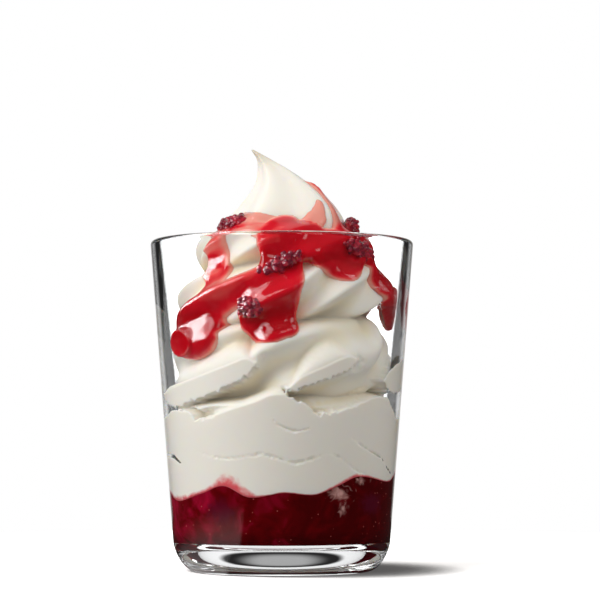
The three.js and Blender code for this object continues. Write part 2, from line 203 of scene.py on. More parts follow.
def wrapped_grid(name: str, places: np.ndarray, **values: np.ndarray) -> bpy.types.Object:
    """Wraps a grid round the axis, so that its first and last columns meet.

    Args:
        name: Name of the piece.
        places: Rows and columns of places in millimetres. The last column repeats the first.
        **values: Numbers to store for each place.

    Returns:
        The new object, still with its seam open.
    """
    rows, columns = places.shape[:2]
    bpy.ops.object.select_all(action="DESELECT")
    bpy.ops.mesh.primitive_grid_add(x_subdivisions=columns - 1, y_subdivisions=rows - 1, size=1)
    piece = bpy.context.object
    piece.name = piece.data.name = name
    set_places(piece, places)
    for key, value in values.items():
        set_values(piece, key, np.broadcast_to(value, places.shape[:2]))
    return piece


def close_seams(piece: bpy.types.Object, reach: float = 1e-6) -> None:
    """Merges vertices that share a place, turns the faces outwards and smooths the shading."""
    select_only(piece)
    bpy.ops.object.mode_set(mode="EDIT")
    bpy.ops.mesh.select_all(action="SELECT")
    bpy.ops.mesh.remove_doubles(threshold=reach)
    bpy.ops.mesh.normals_make_consistent(inside=False)
    bpy.ops.object.mode_set(mode="OBJECT")
    bpy.ops.object.shade_smooth()


def apply_modifier(piece: bpy.types.Object, kind: str, **settings: object) -> None:
    """Adds a modifier with these settings and applies it."""
    select_only(piece)
    modifier = piece.modifiers.new(kind.lower(), kind)
    for key, value in settings.items():
        setattr(modifier, key, value)
    bpy.ops.object.modifier_apply(modifier=modifier.name)


def place_piece(piece: bpy.types.Object, slot: str, material: bpy.types.Material, *nodes: str) -> None:
    """Dresses a finished piece and hands it to the frame.

    Args:
        piece: The piece, finished and in place.
        slot: The record's material slot. Not used.
        material: Its finish.
        *nodes: The CAD nodes that it stands for.
    """
    piece.data.materials.clear()
    piece.data.materials.append(material)
    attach(piece, BODY)
    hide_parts(*nodes)
    LOG.info("%s: %d faces", piece.name, len(piece.data.polygons))


# ---------- Materials ----------


class Ray(Enum):
    """The kinds of ray that a finish or the studio answers in its own way."""

    CAMERA = "Is Camera Ray"
    SHADOW = "Is Shadow Ray"
    DIFFUSE = "Is Diffuse Ray"
    GLOSSY = "Is Glossy Ray"
    REFLECTED = "Is Reflection Ray"
    TRANSMITTED = "Is Transmission Ray"


class Nodes:
    """A short way to place and join shader nodes in one tree."""

    def __init__(self, tree: bpy.types.NodeTree) -> None:
        """Keeps the tree."""
        self.tree = tree

    def add(self, kind: str, **settings: object) -> bpy.types.Node:
        """Adds a node of a kind, named without the ShaderNode at its front."""
        node = self.tree.nodes.new("ShaderNode" + kind)
        for key, value in settings.items():
            setattr(node, key, value)
        return node

    def feed(self, socket: Socket, value: object) -> None:
        """Joins a socket to another, or sets it to a value."""
        if isinstance(value, Socket):
            self.tree.links.new(value, socket)
        elif value is not None:
            socket.default_value = value

    def math(self, operation: str, *terms: object) -> Socket:
        """Works out one number."""
        node = self.add("Math", operation=operation)
        for socket, term in zip(node.inputs, terms):
            self.feed(socket, term)
        return node.outputs[0]

    def rise(self, value: object, low: float, high: float) -> Socket:
        """Returns 0 below low and 1 above high, with a soft rise between."""
        node = self.add("MapRange", interpolation_type="SMOOTHSTEP")
        self.feed(node.inputs["Value"], value)
        node.inputs["From Min"].default_value = low
        node.inputs["From Max"].default_value = high
        return node.outputs["Result"]

    def fall(self, value: object, low: float, high: float) -> Socket:
        """Returns 1 below low and 0 above high, with a soft fall between."""
        return self.rest(self.rise(value, low, high))

    def mix(self, factor: object, first: object, second: object) -> Socket:
        """Mixes two colours."""
        node = self.add("Mix", data_type="RGBA")
        self.feed(node.inputs[0], factor)
        self.feed(node.inputs[6], first)
        self.feed(node.inputs[7], second)
        return node.outputs[2]

    def blend(self, factor: object, first: object, second: object) -> Socket:
        """Mixes two numbers."""
        node = self.add("Mix", data_type="FLOAT")
        for socket, term in zip(node.inputs, (factor, None, first, second)):
            self.feed(socket, term)
        return node.outputs[0]

    def rest(self, value: object) -> Socket:
        """What is left of 1."""
        return self.math("SUBTRACT", 1, value)

    def product(self, first: object, *others: object) -> Socket:
        """Multiplies numbers."""
        for other in others:
            first = self.math("MULTIPLY", first, other)
        return first

    def grey(self, value: object) -> Socket:
        """Makes a grey of a brightness."""
        node = self.add("CombineColor")
        for socket in node.inputs:
            self.feed(socket, value)
        return node.outputs[0]

    def split(self, vector: object) -> dict[str, Socket]:
        """Splits a place or a direction into X, Y and Z."""
        node = self.add("SeparateXYZ")
        self.feed(node.inputs[0], vector)
        return {output.name: output for output in node.outputs}

    def ramp(self, value: object, *stops: tuple[float, Triple]) -> Socket:
        """Reads a colour from stops of (place, colour)."""
        node = self.add("ValToRGB")
        elements = node.color_ramp.elements
        elements[0].position, elements[-1].position = stops[0][0], stops[-1][0]
        for place, _ in stops[1:-1]:
            elements.new(place)
        for element, (_, colour) in zip(elements, stops):
            element.color = (*colour, 1)
        self.feed(node.inputs[0], value)
        return node.outputs[0]

    def value(self, name: str) -> Socket:
        """Reads a number that the mesh stores for each vertex."""
        return self.add("Attribute", attribute_name=name).outputs["Fac"]

    def place(self) -> Socket:
        """Reads the place on the object."""
        return self.add("TexCoord").outputs["Object"]

    def noise(self, size: float, detail: float = 2, bend: float = 0) -> Socket:
        """Noise from 0 to 1, with lumps of a size in millimetres."""
        node = self.add("TexNoise")
        self.feed(node.inputs["Vector"], self.place())
        node.inputs["Scale"].default_value = 1 / (size * MM)
        node.inputs["Detail"].default_value = detail
        node.inputs["Distortion"].default_value = bend
        return node.outputs[0]

    def group(self, group: bpy.types.NodeTree, **inputs: object) -> bpy.types.Node:
        """Places a node group with its own values."""
        node = self.add("Group", node_tree=group)
        for key, value in inputs.items():
            self.feed(node.inputs[key.replace("_", " ")], value)
        return node

    def bump(self, height: object, distance: float, strength: float = 1) -> Socket:
        """Raises the surface by a height of so many millimetres where it is 1."""
        node = self.add("Bump")
        self.feed(node.inputs["Height"], height)
        node.inputs["Distance"].default_value = distance * MM
        node.inputs["Strength"].default_value = strength
        return node.outputs["Normal"]


def new_group(
    name: str, inputs: dict[str, float], outputs: dict[str, str]
) -> tuple[bpy.types.NodeTree, Nodes, bpy.types.Node, bpy.types.Node]:
    """Starts a node group.

    Args:
        name: Name of the group.
        inputs: Its number inputs and their usual values.
        outputs: Its outputs and their socket kinds, Float or Color.

    Returns:
        The group, its nodes, and its input and output nodes.
    """
    tree = bpy.data.node_groups.new(name, "ShaderNodeTree")
    for key, usual in inputs.items():
        socket = tree.interface.new_socket(key, in_out="INPUT", socket_type="NodeSocketFloat")
        socket.default_value = usual
    for key, kind in outputs.items():
        tree.interface.new_socket(key, in_out="OUTPUT", socket_type=f"NodeSocket{kind}")
    nodes = Nodes(tree)
    return tree, nodes, tree.nodes.new("NodeGroupInput"), tree.nodes.new("NodeGroupOutput")


def fine_lumps_group() -> bpy.types.NodeTree:
    """Fine lumps of a chosen size, for the cream's skin and the sauce's pulp."""
    tree, nodes, given, made = new_group("fine_lumps", {"Size": 1.0}, {"Height": "Float", "Patchy": "Float"})
    scale = nodes.math("DIVIDE", 1 / MM, given.outputs["Size"])
    for output, share, detail in (("Height", 1, 3), ("Patchy", 0.22, 2)):
        node = nodes.add("TexNoise")
        nodes.feed(node.inputs["Vector"], nodes.place())
        nodes.feed(node.inputs["Scale"], nodes.math("MULTIPLY", scale, share))
        node.inputs["Detail"].default_value = detail
        nodes.feed(made.inputs[output], node.outputs[0])
    return tree


def torn_edge_group() -> bpy.types.NodeTree:
    """A mask from a distance to an edge, with teeth torn into it where Torn is 1."""
    tree, nodes, given, made = new_group(
        "torn_edge", {"Distance": 0.0, "Torn": 0.0, "Tooth": 1.0}, {"Mask": "Float"}
    )
    large, small, softness = nodes.noise(0.9), nodes.noise(0.34, 1), 0.05
    teeth = nodes.math("ADD", nodes.math("SUBTRACT", large, 0.5), nodes.math("SUBTRACT", small, 0.5))
    reach = nodes.math("MULTIPLY", given.outputs["Torn"], given.outputs["Tooth"])
    distance = nodes.math("ADD", given.outputs["Distance"], nodes.math("MULTIPLY", teeth, reach))
    nodes.feed(made.inputs["Mask"], nodes.rise(distance, -softness, softness))
    return tree


@dataclass(frozen=True)
class Finish:
    """What every finish has.

    Attributes:
        name: Name of the material.
        roughness: Roughness of the bare surface.
        soak: Share of the light that goes into the surface and comes out beside it.
        soak_reach: How far it spreads, in millimetres.
        soak_colour: How far each colour of it spreads, as a share.
    """

    name: str
    roughness: float
    soak: float = 0.0
    soak_reach: float = 2.0
    soak_colour: Triple = (1.0, 0.15, 0.1)

    def start(self) -> tuple[bpy.types.Material, Nodes, bpy.types.Node]:
        """Returns a new material, its nodes and its Principled BSDF."""
        material = bpy.data.materials.new(self.name)
        material.use_nodes = True
        shader = material.node_tree.nodes["Principled BSDF"]
        shader.inputs["Roughness"].default_value = self.roughness
        shader.inputs["Subsurface Weight"].default_value = self.soak
        shader.inputs["Subsurface Radius"].default_value = self.soak_colour
        shader.inputs["Subsurface Scale"].default_value = self.soak_reach * MM
        return material, Nodes(material.node_tree), shader


@dataclass(frozen=True)
class GlassFinish(Finish):
    """Clear pressed glass.

    Attributes:
        index: Index of refraction.
        tint: Colour of thick glass.
    """

    name: str = "clear_glass"
    roughness: float = 0.0
    index: float = 1.5
    tint: Triple = (0.985, 0.995, 1.0)

    def material(self) -> bpy.types.Material:
        """Builds the material: light that is spread by the food passes straight through."""
        material, nodes, shader = self.start()
        shader.inputs["Base Color"].default_value = (*self.tint, 1)
        shader.inputs["IOR"].default_value = self.index
        shader.inputs["Transmission Weight"].default_value = 1
        path = nodes.add("LightPath").outputs
        straight = nodes.math("MAXIMUM", path[Ray.SHADOW.value], path[Ray.DIFFUSE.value])
        clear = nodes.add("BsdfTransparent")
        mix = nodes.add("MixShader")
        nodes.feed(mix.inputs[0], straight)
        nodes.feed(mix.inputs[1], shader.outputs[0])
        nodes.feed(mix.inputs[2], clear.outputs[0])
        nodes.feed(material.node_tree.nodes["Material Output"].inputs["Surface"], mix.outputs[0])
        return material


@dataclass(frozen=True)
class CreamFinish(Finish):
    """Soft serve: matt, slightly translucent, paler where it is pressed to the glass.

    Attributes:
        colour: The cream.
        patch: The cream in its dull patches.
        patchiness: How much those patches show.
        fold: Painted shade in the cream's creases, darker and warmer than the cream.
        hollow: Painted shade in the valleys between flutes, darker where the cream lies below its evened-out
            form.
        pressed: The cream where it touches the glass.
        chalk: How much rougher it is there.
        stain: Where sauce has run into it.
        stain_ends: How much sauce it takes before the stain begins, and until it is full.
        stain_size: Size of the stain's uneven patches.
        grain: Size of its skin's lumps.
        grain_height, grain_strength: How high they stand, and how much that shows.
        shine: How strongly it mirrors.
    """

    name: str = "soft_serve_cream"
    roughness: float = 0.55
    soak: float = 0.6
    soak_reach: float = 2.2
    soak_colour: Triple = (1.0, 0.75, 0.5)
    colour: Triple = (0.93, 0.885, 0.80)
    patch: Triple = (0.84, 0.80, 0.72)
    patchiness: float = 0.10
    chalk: float = 0.3
    stain_ends: Pair = (0.15, 1.0)
    fold: Triple = (0.90, 0.80, 0.58)
    pressed: Triple = (0.88, 0.84, 0.765)
    stain: Triple = (0.75, 0.10, 0.12)
    hollow: Triple = (0.66, 0.60, 0.49)
    stain_size: float = 2.2
    grain: float = 0.7
    grain_height: float = 0.05
    grain_strength: float = 0.5
    shine: float = 0.3

    def material(self) -> bpy.types.Material:
        """Builds the material."""
        material, nodes, shader = self.start()
        lumps = nodes.group(GROUPS["fine_lumps"], Size=self.grain)
        edge = nodes.group(GROUPS["torn_edge"], Distance=nodes.value("pressed"), Torn=nodes.value("torn"))
        mask = edge.outputs["Mask"]
        # Painted shade: the creases are darker and warmer.
        body = nodes.mix(nodes.value("fold"), (*self.colour, 1), (*self.fold, 1))
        dull = nodes.product(lumps.outputs["Patchy"], self.patchiness)
        body = nodes.mix(dull, body, (*self.patch, 1))
        # Painted shade: the valleys between flutes are darkened.
        body = nodes.mix(nodes.value("hollow"), body, (*self.hollow, 1))
        body = nodes.mix(mask, body, (*self.pressed, 1))
        uneven = nodes.math("SUBTRACT", nodes.noise(self.stain_size, 3), 0.5)
        bleed = nodes.math("ADD", nodes.value("bleed"), uneven)
        body = nodes.mix(nodes.rise(bleed, *self.stain_ends), body, (*self.stain, 1))
        nodes.feed(shader.inputs["Base Color"], body)
        height = nodes.product(lumps.outputs["Height"], nodes.rest(mask))
        nodes.feed(shader.inputs["Normal"], nodes.bump(height, self.grain_height, self.grain_strength))
        nodes.feed(shader.inputs["Roughness"], nodes.math("MULTIPLY_ADD", mask, self.chalk, self.roughness))
        shader.inputs["Specular IOR Level"].default_value = self.shine
        return material


@dataclass(frozen=True)
class TopSauceFinish(Finish):
    """Poured berry sauce: glossy, coral where it is thin and deep red where it is thick.

    Attributes:
        thin, glaze, full, deep: Its colours as it gets thicker.
        depths: How thick it is at each, in millimetres.
        unevenness: How much thicker or thinner its pulp makes it look.
        pulp: Size of the lumps of its pulp.
        pulp_height, pulp_strength: How high they stand, and how much that shows.
        coat_roughness, coat_index: Its wet surface.
    """

    name: str = "poured_berry_sauce"
    roughness: float = 0.3
    soak: float = 0.25
    depths: tuple[float, float, float, float] = (0.85, 1.7, 2.25, 4.25)
    unevenness: float = 1.2
    pulp: float = 1.4
    pulp_height: float = 0.06
    pulp_strength: float = 0.25
    coat_roughness: float = 0.05
    coat_index: float = 1.6
    thin: Triple = (0.88, 0.34, 0.27)
    glaze: Triple = (0.84, 0.07, 0.07)
    full: Triple = (0.68, 0.004, 0.016)
    deep: Triple = (0.46, 0.0006, 0.006)

    def material(self) -> bpy.types.Material:
        """Builds the material."""
        material, nodes, shader = self.start()
        lumps = nodes.group(GROUPS["fine_lumps"], Size=self.pulp)
        uneven = nodes.product(nodes.math("SUBTRACT", lumps.outputs["Patchy"], 0.5), self.unevenness)
        depth = nodes.math("ADD", nodes.value("depth"), uneven)
        full_depth = 5
        stops = zip((d / full_depth for d in self.depths), (self.thin, self.glaze, self.full, self.deep))
        colour = nodes.ramp(nodes.math("DIVIDE", depth, full_depth), *stops)
        nodes.feed(shader.inputs["Base Color"], colour)
        pulp = nodes.bump(lumps.outputs["Height"], self.pulp_height, self.pulp_strength)
        nodes.feed(shader.inputs["Normal"], pulp)
        shader.inputs["Specular IOR Level"].default_value = 0.0
        shader.inputs["Coat Weight"].default_value = 1.0
        shader.inputs["Coat Roughness"].default_value = self.coat_roughness
        shader.inputs["Coat IOR"].default_value = self.coat_index
        return material


@dataclass(frozen=True)
class BottomSauceFinish(Finish):
    """Berry sauce seen through the glass: dark and cloudy, with swirls of melted cream.

    Attributes:
        dark, usual, bright: Its colours from darkest to brightest, over random clouds and a painted light
            that brightens the left side.
        across: How much darker it gets for each metre towards +X: painted light, brighter on the left where
            the light comes from.
        cloud_size: Size of its clouds.
        cloud_stops: Where in them each of those colours is full.
        berry: Whole berry sunk in it.
        berry_size, berry_ends: Size of the folds in a berry's edge, and where the edge is.
        milk: Melted cream swirled into it.
        wisp_size, wisp_strength: Size of its wisps, and how much they shape it.
        milk_ends: Where the edge of the melted cream is.
        speck: Seeds and pulp.
        speck_gap: Distance between specks, in millimetres.
        speck_size: Radius of a speck, as a share of that distance.
        berry_share, milk_share, speck_share: How much each covers the sauce.
    """

    name: str = "berry_sauce_in_glass"
    roughness: float = 0.5
    soak: float = 0.3
    soak_colour: Triple = (1.0, 0.1, 0.1)
    # Painted light: the negative slope makes the sauce brighter towards the left.
    across: float = -7
    cloud_size: float = 9
    cloud_stops: Triple = (0.34, 0.56, 0.88)
    berry: Triple = (0.09, 0.004, 0.018)
    berry_size: float = 3
    berry_ends: Pair = (0.6, 1.3)
    berry_share: float = 0.7
    wisp_size: float = 3.4
    wisp_strength: float = 1.6
    milk_ends: Pair = (1.1, 1.9)
    milk_share: float = 0.85
    speck_gap: float = 2.4
    speck_size: float = 0.085
    speck_share: float = 0.6
    dark: Triple = (0.07, 0.0003, 0.001)
    usual: Triple = (0.12, 0.0003, 0.002)
    bright: Triple = (0.36, 0.004, 0.03)
    milk: Triple = (0.74, 0.42, 0.38)
    speck: Triple = (0.55, 0.12, 0.10)

    def material(self) -> bpy.types.Material:
        """Builds the material."""
        material, nodes, shader = self.start()
        across = nodes.split(nodes.place())["X"]
        # Painted light: the clouds brighten towards the left, where the light comes from.
        cloud_and_painted_light = nodes.math("MULTIPLY_ADD", across, self.across, nodes.noise(self.cloud_size, 4, bend=1.2))
        colour = nodes.ramp(cloud_and_painted_light, *zip(self.cloud_stops, (self.dark, self.usual, self.bright)))
        folds = nodes.noise(self.berry_size, 3, bend=2)
        berry = nodes.rise(nodes.math("ADD", nodes.value("sunk"), folds), *self.berry_ends)
        colour = nodes.mix(nodes.product(berry, self.berry_share), colour, (*self.berry, 1))
        wisps = nodes.product(nodes.noise(self.wisp_size, 5, bend=1.6), self.wisp_strength)
        milky = nodes.rise(nodes.math("ADD", nodes.value("milk"), wisps), *self.milk_ends)
        colour = nodes.mix(nodes.product(milky, self.milk_share), colour, (*self.milk, 1))
        specks = nodes.add("TexVoronoi")
        nodes.feed(specks.inputs["Vector"], nodes.place())
        specks.inputs["Scale"].default_value = 1 / (self.speck_gap * MM)
        dot = nodes.math("LESS_THAN", specks.outputs["Distance"], self.speck_size)
        colour = nodes.mix(nodes.product(dot, self.speck_share), colour, (*self.speck, 1))
        nodes.feed(shader.inputs["Base Color"], colour)
        shader.inputs["Specular IOR Level"].default_value = 0.0
        return material


@dataclass(frozen=True)
class BerryFinish(Finish):
    """Crushed berry: dark wet drupelets with redder flesh where they are broken.

    Attributes:
        coat_roughness: Roughness of its wet surface.
        skin, flesh: Its colours.
        broken_size, broken_ends: Size of the broken patches, and where their edges are.
        grain: Size of its skin's lumps.
        grain_height, grain_strength: How high they stand, and how much that shows.
    """

    name: str = "crushed_berry"
    roughness: float = 0.22
    soak: float = 0.2
    soak_reach: float = 0.8
    soak_colour: Triple = (1.0, 0.15, 0.2)
    coat_roughness: float = 0.03
    skin: Triple = (0.19, 0.008, 0.028)
    flesh: Triple = (0.52, 0.018, 0.045)
    broken_size: float = 1.8
    broken_ends: Pair = (0.42, 0.66)
    grain: float = 0.5
    grain_height: float = 0.12
    grain_strength: float = 0.6

    def material(self) -> bpy.types.Material:
        """Builds the material."""
        material, nodes, shader = self.start()
        lumps = nodes.group(GROUPS["fine_lumps"], Size=self.grain)
        broken = nodes.rise(nodes.noise(self.broken_size, 3, bend=0.6), *self.broken_ends)
        nodes.feed(shader.inputs["Base Color"], nodes.mix(broken, (*self.skin, 1), (*self.flesh, 1)))
        grain = nodes.bump(lumps.outputs["Height"], self.grain_height, self.grain_strength)
        nodes.feed(shader.inputs["Normal"], grain)
        shader.inputs["Coat Weight"].default_value = 1.0
        shader.inputs["Coat Roughness"].default_value = self.coat_roughness
        return material


GROUPS: dict[str, bpy.types.NodeTree] = {}  # the node groups that the finishes share


# ---------- Tumbler ----------


@dataclass(frozen=True)
class Tumbler:
    """The clear tumbler: thick straight walls on a solid base, rounded at the foot and the rim.

    Attributes:
        height, rim_radius, rim_round: Its height, its radius outside and the radius of its rim.
        foot_radius, foot_height: Radius and height where the rounded foot ends.
        foot_squareness: Exponent of the foot's curve, 2 for an ellipse.
        contact_outer, contact_inner: The flat ring that it stands on.
        punt_depth: Hollow under the base.
        disc_radius, disc_step, disc_depth: Flat disc in the middle of the hollow, and the width and
            height of the step round it.
        bore_foot, bore_slope: Inside radius at foot_height, and how much it grows with height.
        bore_floor, bore_corner: Top of the solid base, and the radius of the corner on it.
        segments, arc_steps: Faces round it, and along each arc.
        seam_reach: Vertices that are this near to each other are merged, in metres.
    """

    height: float = 105
    rim_radius: float = 42
    rim_round: float = 1.45
    foot_radius: float = 34.55
    foot_height: float = 10
    foot_squareness: float = 1.65
    contact_outer: float = 28
    contact_inner: float = 24
    punt_depth: float = 1.2
    disc_radius: float = 12
    disc_step: float = 1.6
    disc_depth: float = 0.5
    bore_foot: float = 28.8
    bore_slope: float = 1 / 9
    bore_floor: float = 8.4
    bore_corner: float = 6
    segments: int = 256
    arc_steps: int = 16
    seam_reach: float = 5e-6

    def bore(self, height: np.ndarray | float) -> np.ndarray:
        """Inside radius at a height."""
        return self.bore_foot + (np.asarray(height, dtype=float) - self.foot_height) * self.bore_slope

    def profile(self) -> list[Pair]:
        """The tumbler's section, from the middle of the punt round to the middle of its floor."""
        share = np.linspace(0, 1, self.arc_steps + 1)
        rim = self.disc_radius + self.disc_step
        dish = self.punt_depth - self.disc_depth
        punt = [
            *((self.disc_radius * t, self.punt_depth) for t in (0, 0.5, 1)),
            *((rim + (self.contact_inner - rim) * t, dish * (1 - t * t)) for t in share),
        ]
        rise = 1 - np.cos(share * math.pi / 2)
        out = (1 - (1 - rise) ** self.foot_squareness) ** (1 / self.foot_squareness)
        foot = [
            (self.contact_outer + (self.foot_radius - self.contact_outer) * o, self.foot_height * r)
            for o, r in zip(out, rise)
        ]
        rim_height = self.height - self.rim_round
        rim = [
            (
                self.rim_radius - self.rim_round * (1 - math.cos(t * math.pi)),
                rim_height + self.rim_round * math.sin(t * math.pi),
            )
            for t in share
        ]
        top = self.bore_floor + self.bore_corner
        corner = [
            (
                float(self.bore(top)) - self.bore_corner * (1 - math.cos(t * math.pi / 2)),
                top - self.bore_corner * math.sin(t * math.pi / 2),
            )
            for t in share
        ]
        return [*punt, *foot, *rim, *corner, (0.0, self.bore_floor)]

    def build(self) -> bpy.types.Object:
        """Extrudes one point along the section and spins it round the axis."""
        points = self.profile()
        bpy.ops.object.select_all(action="DESELECT")
        bpy.ops.mesh.primitive_plane_add(size=1, location=(0, 0, 0))
        piece = bpy.context.object
        piece.name = piece.data.name = "tumbler"
        bpy.ops.object.mode_set(mode="EDIT")
        bpy.ops.mesh.merge(type="CENTER")
        bpy.ops.transform.translate(value=(points[0][0] * MM, 0, points[0][1] * MM))
        for (x0, z0), (x1, z1) in zip(points, points[1:]):
            step = ((x1 - x0) * MM, 0, (z1 - z0) * MM)
            bpy.ops.mesh.extrude_region_move(TRANSFORM_OT_translate={"value": step})
        bpy.ops.mesh.select_all(action="SELECT")
        bpy.ops.mesh.spin(steps=self.segments, angle=2 * math.pi, center=(0, 0, 0), axis=(0, 0, 1))
        bpy.ops.object.mode_set(mode="OBJECT")
        close_seams(piece, self.seam_reach)
        return piece

    def dress(self, piece: bpy.types.Object) -> None:
        """Gives the tumbler its glass."""
        place_piece(piece, "glass", GlassFinish().material(), "glass_tumbler")


# ---------- Lattice round the axis ----------


@dataclass(frozen=True)
class Lattice:
    """Columns round the axis, closer together at the front.

    Attributes:
        columns: How many.
        crowding: 0 for even columns, towards 1 for more of them at the front.
    """

    columns: int = 440
    crowding: float = 0.36

    def azimuths(self) -> np.ndarray:
        """The columns' azimuths, with the first repeated at the end."""
        turn = np.linspace(-math.pi, math.pi, self.columns + 1)
        return np.degrees(turn - self.crowding * np.sin(turn))


# ---------- Soft serve ----------


@dataclass(frozen=True)
class Band:
    """A patch where the cream is pressed to the glass, between a lower and an upper edge.

    Attributes:
        edges: Columns of azimuth, height of the lower edge, height of the upper edge.
        torn_below: How torn the lower edge is.
        torn_above: How torn the upper edge is.
        torn_depth: How far the cream is torn away from the wall beyond a torn edge.
        least_swell, swell: Roundness of the cream where it leaves the wall unbroken, at the patch's
            ends and away from them.
        swell_reach: Distance from the ends over which the swell grows.
        end_reach: Distance past the ends over which every edge becomes a torn one.
    """

    edges: Course
    torn_below: float = 1.0
    torn_above: float = 0.1
    torn_depth: float = 1.1
    least_swell: float = 0.4
    swell: float = 9.0
    swell_reach: float = 10.0
    end_reach: float = 2.5

    def inside(self, azimuth: np.ndarray, height: np.ndarray) -> tuple[np.ndarray, np.ndarray, np.ndarray]:
        """How far inside the patch a place is, and how torn and how round its nearest edge is."""
        low, high = self.edges.read(azimuth, 1), self.edges.read(azimuth, 2)
        below, above = height - low, high - height
        first, last = self.edges.rows[0][0], self.edges.rows[-1][0]
        end = np.minimum(azimuth - first, last - azimuth) * PRESSED_SPREAD
        inside = np.minimum(np.minimum(below, above), np.where(end < 0, end, np.inf))
        torn = np.where(below < above, self.torn_below, self.torn_above)
        swell = self.least_swell + self.swell * smooth_step(0, self.swell_reach, end)
        return inside, np.maximum(torn, smooth_step(0, self.end_reach, -end)), swell


PRESSED_SPREAD = math.radians(1) * 34  # millimetres along the wall for one degree


@dataclass(frozen=True)
class Crevice:
    """A gap between two folds that the glass presses together.

    Attributes:
        course: Columns of azimuth, height, half width.
        torn: How torn its edges are.
    """

    course: Rows
    torn: float = 0.35

    def outside(self, azimuth: np.ndarray, height: np.ndarray) -> np.ndarray:
        """How far outside the gap a place is, below 0 in it."""
        best = np.full(np.broadcast(azimuth, height).shape, np.inf)
        for (a0, z0, w0), (a1, z1, w1) in zip(self.course, self.course[1:]):
            across, up = turn_between(azimuth, a0) * PRESSED_SPREAD, z0 - height
            run, climb = (a1 - a0) * PRESSED_SPREAD, z1 - z0
            t = np.clip(-(across * run + up * climb) / (run * run + climb * climb), 0, 1)
            gap = np.hypot(across + run * t, up + climb * t) - (w0 + (w1 - w0) * t)
            best = np.minimum(best, gap)
        return best


